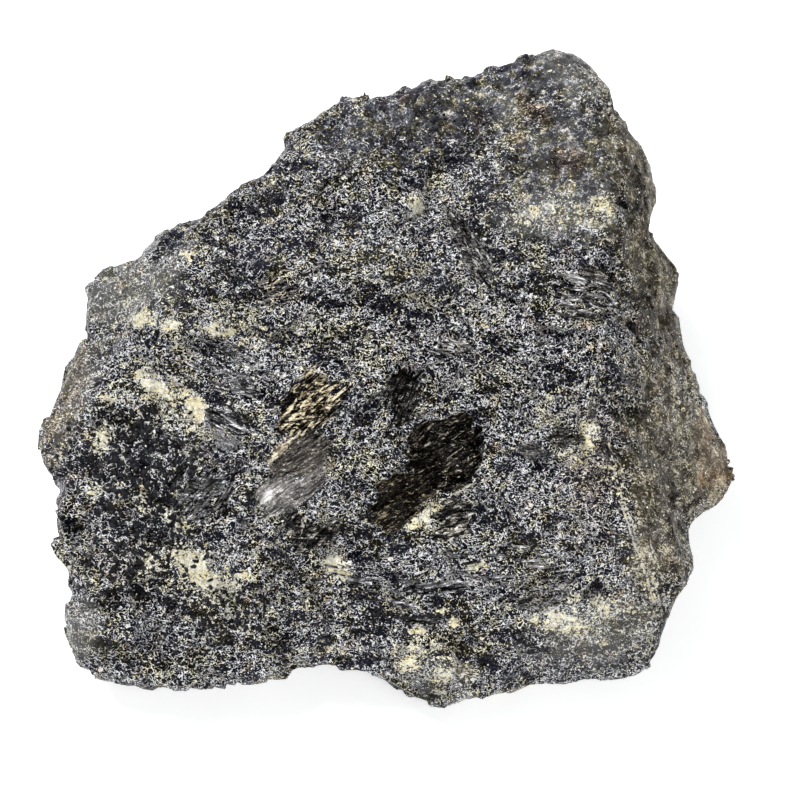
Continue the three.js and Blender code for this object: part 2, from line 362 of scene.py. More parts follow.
# Each patch has its growth, u, v, long, short, turn, strength, depth and crisp.
PATCHES = (
    # Broad zones of the face: lighter, dustier or netted.
    Patch(PALE, -34.1, 10.8, 7.5, 4.4, 20, 0.9),
    Patch(PALE, -40.8, -3.0, 9.0, 2.8, 72, 0.75),
    Patch(PALE, 21.2, 20.6, 9.0, 3.6, 4, 0.75),
    Patch(PALE, 23.4, 38.8, 5.5, 3.6, -30, 0.75),
    Patch(PALE, 15.6, 34.8, 2.4, 1.8, 60, 0.6),
    Patch(PALE, 26.8, -33.6, 10.0, 5.0, 10, 0.8),
    Patch(PALE, -39.9, -32.8, 4.4, 2.8, 70, 0.9),
    Patch(PALE, 5.6, -39.3, 6.5, 2.8, 0, 0.5),
    Patch(PALE, 41.2, -11.0, 7.0, 4.0, 100, 0.8, crisp=0.4),
    Patch(PALE, 36.0, -4.0, 6.0, 2.4, 70, 0.3),
    Patch(PALE, 33.0, -24.0, 7.0, 2.6, 80, 0.35),
    Patch(LIGHT, -2.9, 15.3, 6.0, 3.6, -20, 0.5),
    Patch(LIGHT, -16.3, 15.1, 6.5, 1.6, 0, 0.6),
    Patch(LIGHT, -28.9, -6.8, 4.2, 2.4, 15, 0.7),
    Patch(LIGHT, 25.1, -10.7, 9.0, 3.4, 82, 0.45),
    Patch(LIGHT, 14.7, -24.3, 9.0, 3.0, 8, 0.4),
    Patch(LIGHT, 30.3, -23.7, 6.0, 3.0, 75, 0.6),
    Patch(LIGHT, -8.1, -35.4, 5.0, 1.8, 5, 0.5),
    Patch(LIGHT, -24.0, 7.0, 8.0, 1.8, -5, 0.4),
    Patch(LIGHT, 3.0, 13.5, 12.0, 1.8, -28, 0.35),
    Patch(LIGHT, -6.0, 28.6, 5.0, 2.6, 30, 0.35),
    Patch(LIGHT, 9.5, 24.0, 5.0, 2.0, 10, 0.35),
    Patch(NET, -33.0, -12.5, 9.5, 9.0, 0, 1.0),
    Patch(NET, -31.0, -23.0, 9.5, 6.5, 0, 0.7),
    Patch(NET, -20.0, -31.0, 12.0, 4.5, 0, 0.5),
    Patch(NET, 4.0, -30.0, 9.0, 4.0, 0, 0.45),
    Patch(SOFT, 10.0, 36.0, 26.0, 9.0, 16, 1.0, crisp=0.4),
    Patch(SOFT, 23.0, 27.0, 12.0, 13.0, 0, 1.0, crisp=0.4),
    Patch(SOFT, -4.0, 29.0, 18.0, 8.0, 18, 0.55, crisp=0.2),
    Patch(PALE, 22.0, 28.0, 10.0, 9.0, 0, 0.4, crisp=0.2),
    Patch(PALE, 8.0, 34.0, 16.0, 4.0, 14, 0.3, crisp=0.2),
    Patch(SOFT, -24.0, 23.0, 14.0, 3.6, 36, 0.7, crisp=0.3),
    Patch(SOFT, -34.0, 10.0, 9.0, 6.0, 20, 0.6, crisp=0.4),
    Patch(SOFT, -42.0, -5.0, 12.0, 3.6, 75, 0.7, crisp=0.4),
    Patch(SOFT, 20.0, -36.0, 20.0, 4.4, 6, 0.5, crisp=0.3),
    Patch(SOFT, -36.0, -36.0, 7.0, 4.0, 0, 0.5, crisp=0.3),
    Patch(SOFT, 5.0, -39.5, 8.0, 2.6, 0, 0.5, crisp=0.3),
    Patch(SOFT, 31.0, 12.0, 4.0, 20.0, 6, 0.4, crisp=0.3),
    # Dense black amphibole.
    Patch(DARK, 3.2, -8.2, 3.6, 4.2, 60, 0.65, 0.3),
    Patch(DARK, 4.2, -13.6, 2.2, 1.6, 40, 0.8, 0.8),
    Patch(DARK, -2.2, -14.0, 2.4, 2.6, 40, 0.5, 0.2),
    Patch(DARK, 2.0, -2.2, 5.2, 2.6, 85, 0.55, 0.3),
    Patch(DARK, 7.5, -18.1, 2.6, 2.3, 0, 0.8, 0.35),
    Patch(DARK, -10.7, -20.4, 4.2, 1.8, -15, 0.8, 0.4),
    Patch(DARK, -23.7, -15.9, 3.6, 3.2, 40, 0.7, 0.2),
    Patch(DARK, -19.4, 20.5, 2.2, 2.6, 0, 0.8, 0.5),
    Patch(DARK, -7.4, 20.9, 2.5, 1.8, 0, 0.9, 0.5),
    Patch(DARK, -15.2, 10.4, 4.4, 2.5, 15, 0.6, 0.3),
    Patch(DARK, -2.9, 23.8, 5.5, 3.0, 0, 0.4, 0.1),
    Patch(DARK, 2.3, 30.6, 2.6, 2.2, 0, 0.6, 0.2),
    Patch(DARK, 7.5, 32.9, 5.5, 2.8, 0, 0.4, 0.1),
    Patch(DARK, 30.9, 22.5, 5.0, 2.8, 80, 0.6, 0.2),
    Patch(DARK, 27.7, 13.0, 1.9, 1.7, 0, 0.8, 0.5),
    Patch(DARK, 26.4, 4.3, 3.2, 1.7, 10, 0.6, 0.2),
    Patch(DARK, 32.0, 7.3, 3.2, 2.0, 80, 0.6, 0.2),
    Patch(DARK, 29.9, -4.2, 2.4, 1.5, 0, 0.7, 0.3),
    Patch(DARK, 22.1, -7.4, 2.0, 1.6, 80, 0.7, 0.3),
    Patch(DARK, 28.1, -9.6, 1.7, 1.6, 0, 0.8, 0.4),
    Patch(DARK, 19.2, -12.2, 2.4, 2.2, 0, 0.5, 0.2),
    Patch(DARK, 19.6, -28.6, 3.2, 2.2, 8, 0.5, 0.2),
    Patch(DARK, 3.0, -27.6, 1.3, 1.1, 0, 0.9, 0.4),
    Patch(DARK, -15.0, -33.7, 2.8, 2.0, 0, 0.7, 0.3),
    Patch(DARK, -28.0, -37.0, 2.4, 1.8, 0, 0.7, 0.3),
    Patch(DARK, -22.0, -28.5, 1.7, 1.1, 0, 0.8, 0.4),
    Patch(DARK, -34.1, -12.0, 3.0, 2.6, 0, 0.45, 0.2),
    Patch(DARK, -35.1, -5.7, 3.0, 1.3, 8, 0.7, 0.3),
    Patch(DARK, -34.5, -0.7, 2.2, 1.8, 0, 0.8, 0.4),
    Patch(DARK, -16.1, -2.0, 1.8, 1.8, 0, 0.6, 0.3),
    Patch(DARK, -41.5, -19.1, 4.8, 2.2, 88, 0.5, 0.1),
    Patch(DARK, -30.2, -21.7, 2.6, 1.9, 0, 0.55, 0.3),
    Patch(DARK, -32.8, -30.2, 6.5, 3.2, 0, 0.4, 0.1),
    Patch(DARK, 17.9, 3.4, 3.2, 2.1, 0, 0.4, 0.1),
    Patch(DARK, 11.8, 33.3, 1.6, 1.9, 0, 0.6, 0.3),
    Patch(DARK, 16.3, 27.0, 2.8, 2.5, 0, 0.45, 0.1),
    Patch(DARK, -4.8, -22.4, 2.2, 1.8, 0, 0.5, 0.2),
    Patch(DARK, 6.9, 3.0, 3.2, 2.2, 0, 0.3, 0.1),
    Patch(DARK, 1.0, 6.9, 3.2, 2.4, 0, 0.3, 0.1),
    Patch(DARK, 19.0, 3.8, 0.7, 0.5, 0, 1.0, 0.5),
    Patch(DARK, 17.8, 2.0, 0.6, 0.5, 0, 1.0, 0.5),
    Patch(DARK, 19.2, 1.6, 0.6, 0.6, 0, 1.0, 0.5),
    Patch(DARK, 21.6, 5.0, 0.6, 0.5, 0, 1.0, 0.5),
    Patch(DARK, 7.4, 7.6, 0.7, 0.5, -40, 1.0, 0.5),
    # The darker middle of the face, and marks beside it.
    Patch(DARK, 10.0, 2.0, 19.0, 12.0, 0, 0.42),
    Patch(DARK, -6.0, 6.0, 12.0, 8.0, 0, 0.40),
    Patch(DARK, -15.0, 10.6, 3.6, 2.4, 10, 0.75, 0.1),
    Patch(RUST, -15.0, 10.6, 3.4, 2.2, 10, 0.5),
    Patch(FELDSPAR, 6.6, -30.4, 1.1, 0.6, 35, 0.8, 0.0, crisp=0.15),
    Patch(FELDSPAR, 8.0, -31.9, 0.9, 0.6, 70, 0.75, 0.0, crisp=0.15),
    Patch(FELDSPAR, 3.4, -33.2, 1.3, 0.8, 10, 0.8, 0.0, crisp=0.15),
    # Sparse golden and cream specks, and yellowish streaks down the right side.
    Patch(FELDSPAR, 24.6, -8.8, 4.4, 3.0, 70, 0.33, 0.0),
    Patch(FELDSPAR, 22.5, -4.0, 5.0, 2.4, 20, 0.21, 0.0),
    Patch(FELDSPAR, 30.6, -18.5, 8.0, 1.0, 108, 0.20, 0.0),
    Patch(FELDSPAR, 32.4, -24.5, 7.0, 1.2, 106, 0.18, 0.0),
    Patch(FELDSPAR, 28.8, -13.0, 5.0, 0.7, 100, 0.29, 0.0),
    Patch(FELDSPAR, 34.5, -19.0, 6.0, 0.9, 104, 0.16, 0.0),
    Patch(FELDSPAR, 37.0, -5.0, 6.0, 0.8, 100, 0.25, 0.0),
    Patch(FELDSPAR, 39.4, -3.0, 5.0, 0.6, 102, 0.25, 0.0),
    Patch(FELDSPAR, -24.0, -26.0, 6.0, 3.4, -40, 0.29, 0.0),
    Patch(FELDSPAR, -29.0, -3.0, 7.0, 3.0, -40, 0.29, 0.0),
    Patch(FELDSPAR, -18.0, 5.0, 6.0, 2.6, 0, 0.23, 0.0),
    Patch(FELDSPAR, 22.0, 20.8, 7.0, 2.2, 0, 0.25, 0.0),
    Patch(FELDSPAR, 24.0, -31.0, 8.0, 2.4, 8, 0.27, 0.0),
    Patch(FELDSPAR, -9.0, 6.0, 7.0, 3.0, 0, 0.15, 0.0),
    Patch(FELDSPAR, 4.0, -36.0, 4.0, 2.4, 0, 0.25, 0.0),
    # Cream feldspar.
    Patch(FELDSPAR, -25.0, -24.7, 3.6, 1.7, -42, 1.1, -0.15, crisp=0.4),
    Patch(FELDSPAR, -31.1, -24.4, 1.6, 1.0, 0, 0.9, -0.1, crisp=0.15),
    Patch(FELDSPAR, -28.0, -18.5, 2.8, 1.0, -40, 0.8, -0.1, crisp=0.15),
    Patch(FELDSPAR, -30.8, -1.2, 3.7, 1.1, -36, 1.1, -0.1, crisp=0.4),
    Patch(FELDSPAR, -25.1, -4.4, 2.4, 1.4, -60, 1.1, -0.1, crisp=0.4),
    Patch(FELDSPAR, -36.9, -8.1, 2.1, 1.3, 80, 0.8, -0.1, crisp=0.15),
    Patch(FELDSPAR, -32.4, 7.3, 2.2, 1.4, 10, 0.8, -0.1, crisp=0.15),
    Patch(FELDSPAR, -28.5, 6.0, 1.6, 1.0, 0, 0.9, -0.1, crisp=0.15),
    Patch(FELDSPAR, -22.4, 5.5, 2.8, 1.1, -5, 0.8, -0.1, crisp=0.15),
    Patch(FELDSPAR, -25.6, 15.1, 1.6, 1.1, 0, 0.6, 0.0, crisp=0.15),
    Patch(FELDSPAR, -6.9, -25.1, 2.2, 1.4, -40, 1.1, -0.2, crisp=0.4),
    Patch(FELDSPAR, 4.3, -18.1, 3.3, 0.9, 40, 0.9, -0.1, crisp=0.15),
    Patch(FELDSPAR, 24.8, -8.7, 2.5, 1.1, 80, 0.75, -0.1, crisp=0.15),
    Patch(FELDSPAR, 21.2, -31.7, 4.1, 1.4, 0, 0.8, -0.1, crisp=0.15),
    Patch(FELDSPAR, 26.4, -30.2, 2.1, 1.7, 0, 0.7, -0.1, crisp=0.15),
    Patch(FELDSPAR, 2.6, -36.7, 2.0, 1.2, 60, 0.6, -0.1, crisp=0.15),
    Patch(FELDSPAR, 3.0, 21.6, 1.0, 0.8, 0, 0.9, -0.1, crisp=0.15),
    Patch(FELDSPAR, 17.9, 20.5, 1.7, 1.1, 0, 0.7, 0.0, crisp=0.15),
    Patch(FELDSPAR, 26.8, 21.5, 2.6, 1.4, 0, 0.8, 0.0, crisp=0.15),
    Patch(FELDSPAR, 10.8, -24.7, 2.0, 1.1, 20, 0.7, 0.0, crisp=0.15),
    Patch(FELDSPAR, 25.1, -0.9, 1.5, 1.0, 0, 0.5, 0.0, crisp=0.15),
    Patch(FELDSPAR, -19.1, -26.3, 2.2, 1.1, 0, 0.7, 0.0, crisp=0.15),
    Patch(FELDSPAR, 12.0, 6.2, 0.9, 0.6, 0, 0.9, 0.0, crisp=0.15),
    Patch(FELDSPAR, -38.0, -15.0, 1.4, 0.8, 10, 0.8, 0.0, crisp=0.15),
    Patch(FELDSPAR, -32.2, -15.6, 1.4, 0.9, 70, 0.7, 0.0, crisp=0.15),
    Patch(FELDSPAR, -35.0, -3.2, 1.8, 0.7, 0, 0.7, 0.0, crisp=0.15),
    Patch(FELDSPAR, -8.8, -35.6, 2.3, 0.9, 0, 0.5, 0.0, crisp=0.15),
    Patch(FELDSPAR, 6.6, -38.6, 2.5, 1.4, 0, 0.5, 0.0, crisp=0.15),
    # Weathered skin and iron stains.
    Patch(OLIVE, 34.2, 20.0, 26.0, 6.0, 98, 1.0),
    Patch(OLIVE, 35.5, -12.0, 20.0, 6.6, 88, 0.9),
    Patch(DARK, 39.4, -10.0, 1.7, 1.2, 60, 0.55, 0.1),
    Patch(DARK, 43.2, -12.2, 0.9, 0.6, 70, 0.6, 0.1),
    Patch(DARK, 39.8, -16.8, 1.6, 0.7, 30, 0.7, 0.1),
    Patch(DARK, 41.9, -9.0, 0.7, 0.5, 0, 0.6, 0.1),
    Patch(DARK, 37.4, -3.6, 1.2, 2.0, 10, 0.5, 0.1),
    Patch(FELDSPAR, 41.5, -5.4, 1.9, 0.5, 112, 0.55, -0.1, crisp=0.2),
    Patch(FELDSPAR, 42.2, -10.2, 1.2, 0.4, 105, 0.5, -0.1, crisp=0.2),
    Patch(FELDSPAR, 38.6, -1.2, 0.8, 0.6, 0, 0.5, 0.0, crisp=0.2),
    Patch(RUST, 41.0, -13.6, 1.8, 1.3, 40, 0.95),
    Patch(RUST, 40.7, -6.4, 2.6, 0.9, 112, 0.8),
    Patch(OLIVE, 41.0, -10.0, 9.0, 5.0, 80, 1.0),
    Patch(DARK, 21.6, 27.7, 2.4, 1.5, 80, 0.5, 0.1),
    Patch(DARK, 17.4, 35.8, 2.2, 1.2, 0, 0.5, 0.1),
    Patch(RUST, 26.0, -12.0, 4.0, 8.0, 0, 0.45),
    Patch(RUST, 41.5, -10.0, 3.0, 6.0, 10, 0.5),
    Patch(RUST, 43.6, -12.6, 1.4, 1.8, 0, 0.9),
    Patch(RUST, 41.2, -7.6, 1.2, 1.6, 0, 0.8),
    Patch(RUST, -42.0, -4.0, 10.0, 2.4, 72, 0.45),
    Patch(RUST, 21.6, 27.7, 2.4, 1.5, 80, 0.8),
    Patch(RUST, 18.4, 34.0, 3.4, 1.3, -38, 0.9),
    Patch(DARK, 18.4, 34.0, 3.4, 1.2, -38, 0.55, 0.2),
    Patch(RUST, 11.0, 33.2, 1.0, 2.2, 0, 0.7),
    Patch(RUST, 23.6, 27.0, 1.6, 2.8, 0, 0.9),
    Patch(DARK, 23.6, 27.0, 1.5, 2.6, 0, 0.5, 0.1),
    Patch(DARK, 4.2, 31.6, 3.0, 3.4, 0, 0.4, 0.1),
    Patch(RUST, 16.2, 30.6, 1.4, 1.2, 0, 0.5),
    Patch(RUST, 1.7, 36.0, 1.0, 0.7, 0, 0.9),
    Patch(RUST, -36.0, -23.9, 3.2, 2.4, 0, 0.3),
    Patch(RUST, 32.4, 7.4, 3.0, 2.0, 80, 0.6),
    Patch(RUST, 42.6, -13.0, 1.2, 2.0, 0, 0.4),
    Patch(RUST, 40.0, -8.5, 1.0, 1.4, 0, 0.4),
)


@dataclass(frozen=True)
class Push:
    """A stretch of the stone's outline that stands further in or out, in millimetres."""

    u: float
    v: float
    long: float
    short: float
    move: tuple[float, float]

    def add_to(self, shift: np.ndarray, face: np.ndarray) -> None:
        """Adds the push to how far each point moves.

        Args:
            shift: moves along u and v, one row for each point; changed in place.
            face: points as u, v, w rows.
        """
        far = np.hypot((face[:, 0] - self.u) / self.long, (face[:, 1] - self.v) / self.short)
        share = 1 - smoothstep(0.2, 1.6, far)
        shift[:, 0] += self.move[0] * share
        shift[:, 1] += self.move[1] * share


PUSHES = (
    Push(-26.3, 20.8, 3.6, 3.0, (0.5, -1.0)),
    Push(-17.2, 28.0, 4.2, 3.4, (0.7, -1.1)),
    Push(-10.0, 34.6, 4.0, 3.0, (0.5, -1.1)),
    Push(12.4, 40.3, 6.0, 3.0, (0.0, -1.3)),
    Push(31.2, 34.0, 3.0, 3.4, (-0.9, -0.3)),
    Push(36.8, 18.4, 3.0, 3.6, (-2.0, 0.0)),
    Push(38.6, 7.6, 3.6, 4.4, (-1.1, 0.0)),
    Push(41.0, -20.2, 3.6, 3.6, (-1.6, 0.2)),
    Push(38.0, -33.0, 4.0, 5.0, (-1.5, 0.3)),
    Push(45.0, -13.4, 2.6, 1.8, (0.5, 0.0)),
    Push(43.6, -5.4, 2.4, 2.6, (-0.8, 0.0)),
    Push(18.0, -41.4, 11.0, 3.0, (0.0, 1.1)),
    Push(-9.5, -38.6, 4.6, 2.4, (0.0, 0.8)),
    Push(-41.6, -26.5, 3.0, 3.2, (1.4, 0.0)),
    Push(-43.4, -14.2, 2.4, 2.0, (1.0, 0.0)),
)


def oval(u: float, v: float, long: float, short: float, turn: float) -> tuple[tuple[float, float], ...]:
    """The corners of a turned ellipse, in millimetres.

    Args:
        u: its middle, across the face.
        v: its middle, up the face.
        long: half its length.
        short: half its width.
        turn: how far its length is turned from u, in degrees.

    Returns:
        Fourteen points round it.
    """
    lean = math.radians(turn)
    corners = []
    for step in range(OVAL_CORNERS):
        angle = math.tau * step / OVAL_CORNERS
        along, across = long * math.cos(angle), short * math.sin(angle)
        across_u = u + along * math.cos(lean) - across * math.sin(lean)
        up_v = v + along * math.sin(lean) + across * math.cos(lean)
        corners.append((across_u, up_v))
    return tuple(corners)


@dataclass(frozen=True)
class Crystal:
    """One cleaved crystal, or a streaked zone, that shows in the broad face; lengths in millimetres."""

    outline: tuple[tuple[float, float], ...]
    run: float  # direction of its cleavage lines, in degrees
    sink: float = 0.0  # depth of its floor under the rock round it
    sheen: float = 0.2  # how light it is: its own tone, with painted sheen on bright cleavages and painted shade in hollows
    golden: float = 0.0  # how tan it is
    lined: float = 1.0  # how strongly its lines show
    cover: float = 1.0  # how much of the rock it hides
    step: float = 0.12  # height of its cleavage steps
    splinters: float = 1.0  # how densely it is covered by loose splinters

    def depth(self, face: np.ndarray, jag: np.ndarray) -> np.ndarray:
        """How far inside the outline each point is.

        Args:
            face: points as u, v, w rows.
            jag: how far each point is moved along the cleavage first, which frays the ends.

        Returns:
            Distance to the outline in millimetres, less than nought outside.
        """
        angle = math.radians(self.run)
        u = face[:, 0] + jag * math.cos(angle)
        v = face[:, 1] + jag * math.sin(angle)
        nearest = np.full(len(face), np.inf)
        inside = np.zeros(len(face), bool)
        corners = np.array(self.outline)
        for start, end in zip(corners, np.roll(corners, -1, axis=0)):
            edge = end - start
            share = np.clip(((u - start[0]) * edge[0] + (v - start[1]) * edge[1]) / (edge @ edge), 0.0, 1.0)
            far = np.hypot(u - start[0] - share * edge[0], v - start[1] - share * edge[1])
            nearest = np.minimum(nearest, far)
            crosses = (start[1] > v) != (end[1] > v)
            level = edge[1] if abs(edge[1]) > TINY else TINY
            inside ^= crosses & (u < start[0] + (v - start[1]) / level * edge[0])
        return np.where(inside, nearest, -nearest)

    def along(self, face: np.ndarray, number: int) -> np.ndarray:
        """Coordinates along and across the cleavage, and a third that sets each crystal's pattern apart."""
        angle = math.radians(self.run)
        forward = face[:, 0] * math.cos(angle) + face[:, 1] * math.sin(angle)
        sideways = face[:, 1] * math.cos(angle) - face[:, 0] * math.sin(angle)
        return np.column_stack([forward, sideways, np.full(len(face), 5.3 * number)])


@dataclass(frozen=True)
class Gleam:
    """A lighter or darker spot on a crystal, in millimetres; the lighter spots on the blade's foot are
    painted highlights.
    """

    u: float
    v: float
    long: float
    short: float
    turn: float
    change: float

    def add_to(self, sheen: np.ndarray, face: np.ndarray, ragged: np.ndarray) -> np.ndarray:
        """Adds the spot to how light each point is."""
        spot = Patch(Growth.LIGHT, self.u, self.v, self.long, self.short, self.turn, self.change, crisp=0.3)
        return sheen + spot.mask(face, ragged)


# After its outline each crystal has run, sink, sheen, golden, lined, cover, step and splinters.
CRYSTALS = (
    # The long blade left of the middle: rugged top, smooth middle, silvery foot with a painted highlight, and
    # the tan rim beside it.
    Crystal(
        ((-14.0, -3.6), (-13.9, -6.6), (-12.6, -7.8), (-10.0, -6.6), (-8.0, -6.0), (-6.6, -4.2),
         (-7.6, -2.4), (-8.8, -0.6), (-10.2, 0.2), (-12.6, -1.6)),
        42, 0.25, 0.30, 0.9, 3.2, 1.0, 0.28, 0.7,
    ),
    Crystal(
        ((-12.8, -7.6), (-9.6, -7.2), (-8.4, -9.2), (-8.8, -11.6), (-12.0, -13.5), (-15.2, -13.4),
         (-15.5, -11.6), (-13.4, -9.8)),
        36, 0.40, 0.34, 0.35, 0.75, 0.94, 0.08, 0.2,
    ),
    Crystal(
        ((-15.3, -12.9), (-12.0, -13.3), (-9.0, -11.6), (-7.9, -13.6), (-9.8, -15.3), (-11.8, -16.8),
         (-13.4, -18.1), (-15.8, -17.7), (-17.0, -16.4), (-16.8, -14.6)),
        35, 0.20, 0.55, 0.16, 0.66, 1.0, 0.08, 0.12,
    ),
    Crystal(
        ((-16.0, -11.4), (-14.9, -9.6), (-13.1, -7.9), (-12.7, -8.3), (-13.9, -10.1), (-15.5, -11.7)),
        40, 0.0, 0.74, 0.7, 1.0, 1.0, 0.1, 0.4,
    ),
    # The hollows in the middle; the near black of their floors is partly dark crystal, partly painted shade.
    Crystal(
        ((3.4, -6.6), (6.2, -6.0), (8.8, -5.1), (10.6, -6.7), (11.5, -8.8), (11.1, -11.6), (10.5, -13.8),
         (8.5, -14.8), (5.5, -15.2), (3.6, -14.0), (2.2, -11.5), (1.9, -8.0)),
        31, 1.6, 0.06, 0.6, 0.36, 1.0, 0.30, 0.15,
    ),
    Crystal(
        ((-1.8, -14.3), (0.5, -12.9), (4.2, -13.6), (6.0, -15.2), (4.4, -16.4), (3.0, -17.6),
         (1.6, -19.6), (-0.8, -20.3), (-2.8, -19.0), (-2.1, -16.5)),
        33, 1.4, 0.09, 0.9, 0.36, 1.0, 0.26, 0.15,
    ),
    Crystal(
        ((0.6, 0.7), (2.5, 0.2), (3.4, -2.0), (2.7, -4.2), (1.9, -6.6), (0.0, -6.2), (0.3, -3.2),
         (-0.4, -1.4)),
        62, 1.2, 0.06, 0.3, 0.6, 0.95, 0.2, 0.3,
    ),
    Crystal(
        ((6.2, -17.2), (7.6, -16.4), (9.3, -16.8), (9.2, -18.6), (9.6, -20.4), (7.2, -21.4), (6.2, -20.0)),
        26, 0.5, 0.24, 0.35, 1.9, 0.95, 0.22, 0.9,
    ),
    Crystal(
        ((-14.1, -18.2), (-12.4, -17.6), (-10.8, -18.8), (-8.0, -19.4), (-6.6, -20.0), (-8.2, -22.0),
         (-11.6, -21.9), (-13.6, -20.6)),
        56, 0.45, 0.18, 0.3, 1.8, 0.95, 0.24, 0.9,
    ),
    # Satin cleavages on the left, with their grey sheen painted into their colour.
    Crystal(
        ((-23.9, -5.0), (-22.2, -3.9), (-20.3, -4.8), (-19.3, -6.6), (-19.4, -7.9), (-21.8, -7.3),
         (-23.8, -6.6)),
        -28, 0.15, 0.37, 0.0, 2.1, 1.0, 0.14, 0.1,
    ),
    Crystal(
        ((-23.7, -6.9), (-21.6, -7.6), (-19.5, -8.2), (-20.4, -9.6), (-22.6, -9.5)),
        -25, 0.05, 0.54, 0.0, 0.9, 0.9, 0.08, 0.1,
    ),
    # Small hollows and streaked zones.
    Crystal(oval(-27.2, -12.9, 2.2, 0.6, 56), 56, 0.4, 0.12, 0.0, 0.8, 0.9, 0.1, 0.5),
    Crystal(oval(4.4, -31.6, 2.5, 0.8, 2), 6, 0.5, 0.08, 0.0, 0.7, 0.9, 0.1, 0.2),
    Crystal(
        ((6.6, 21.8), (8.2, 21.0), (9.4, 19.2), (11.4, 17.2), (12.6, 14.6), (13.6, 12.2), (12.6, 11.2),
         (11.0, 11.8), (9.6, 13.6), (8.8, 15.6), (7.6, 17.6), (7.2, 19.4)),
        -56, 0.3, 0.17, 0.2, 1.4, 0.87, 0.12, 0.1,
    ),
    Crystal(oval(25.1, 10.1, 4.4, 3.4, -15), -14, 0.1, 0.44, 0.1, 1.5, 0.6, 0.1, 0.2),
    Crystal(
        ((16.0, -28.5), (17.2, -27.0), (19.4, -26.2), (22.0, -26.0), (23.4, -26.8), (22.6, -28.2),
         (21.6, -29.8), (19.4, -31.0), (17.2, -30.6)),
        12, 0.3, 0.27, 0.1, 1.4, 0.862, 0.1, 0.1,
    ),
    Crystal(oval(-23.7, -15.9, 4.0, 3.0, 40), 48, 0.1, 0.26, 0.0, 1.2, 0.7, 0.1, 0.3),
    Crystal(oval(-15.2, 10.4, 4.4, 2.4, 15), 18, 0.1, 0.40, 0.1, 1.2, 0.5, 0.1, 0.1),
    Crystal(oval(22.3, -8.0, 2.0, 1.0, -8), 10, 0.3, 0.22, 0.3, 1.0, 0.9, 0.1, 0.3),
    Crystal(oval(28.2, -10.4, 1.7, 1.1, -75), -70, 0.3, 0.24, 0.2, 1.2, 0.9, 0.1, 0.3),
    Crystal(oval(17.9, -9.9, 1.3, 0.9, -30), -20, 0.2, 0.28, 0.1, 1.2, 0.88, 0.1, 0.3),
    Crystal(oval(26.4, 12.6, 2.0, 0.9, -15), -10, 0.3, 0.2, 0.3, 1.4, 0.9, 0.1, 0.3),
    Crystal(oval(7.4, 3.0, 3.8, 1.8, -20), -20, 0.0, 0.42, 0.2, 1.2, 0.4, 0.1, 0.1),
    Crystal(oval(-21.0, 0.8, 6.5, 3.4, -22), -24, 0.0, 0.44, 0.0, 1.3, 0.5, 0.1, 0.1),
    Crystal(oval(12.0, -25.5, 12.0, 4.0, 3), 3, 0.0, 0.46, 0.0, 1.3, 0.4, 0.1, 0.05),
    Crystal(oval(-2.0, -27.0, 9.0, 3.0, -8), -8, 0.0, 0.44, 0.0, 1.3, 0.35, 0.1, 0.05),
    Crystal(oval(27.0, 0.0, 6.0, 3.0, 80), 78, 0.0, 0.44, 0.1, 1.2, 0.35, 0.1, 0.05),
)

# Lighter and darker spots on the crystals; the first two are painted highlights on the blade's silvery foot.
GLEAMS = (
    Gleam(-16.0, -15.7, 1.5, 0.5, 50, 0.36),
    Gleam(-15.2, -15.0, 2.2, 1.3, 38, 0.12),
    Gleam(-12.7, -15.2, 0.5, 0.3, 30, 0.5),
    Gleam(-9.4, -14.0, 2.2, 1.2, 40, -0.16),
    Gleam(-12.9, -3.4, 2.0, 0.8, 38, -0.34),
    Gleam(-11.2, -1.4, 1.6, 0.7, 40, -0.26),
    Gleam(-8.2, -4.9, 2.2, 0.6, 32, -0.42),
    Gleam(-9.6, -1.4, 1.0, 0.8, -50, 0.30),
    Gleam(-13.2, -5.6, 1.0, 0.8, 0, 0.15),
    Gleam(9.3, -12.7, 1.5, 0.9, 10, -0.12),
    Gleam(10.6, -9.5, 0.8, 1.8, 0, -0.10),
    Gleam(7.6, -17.4, 1.3, 0.6, 20, -0.22),
    Gleam(-13.3, -18.6, 1.0, 0.8, 0, -0.22),
    Gleam(-9.9, -21.0, 1.2, 0.8, 0, -0.24),
)


# ---------------------------------------------------------------------------------------------------
# The stone
# ---------------------------------------------------------------------------------------------------


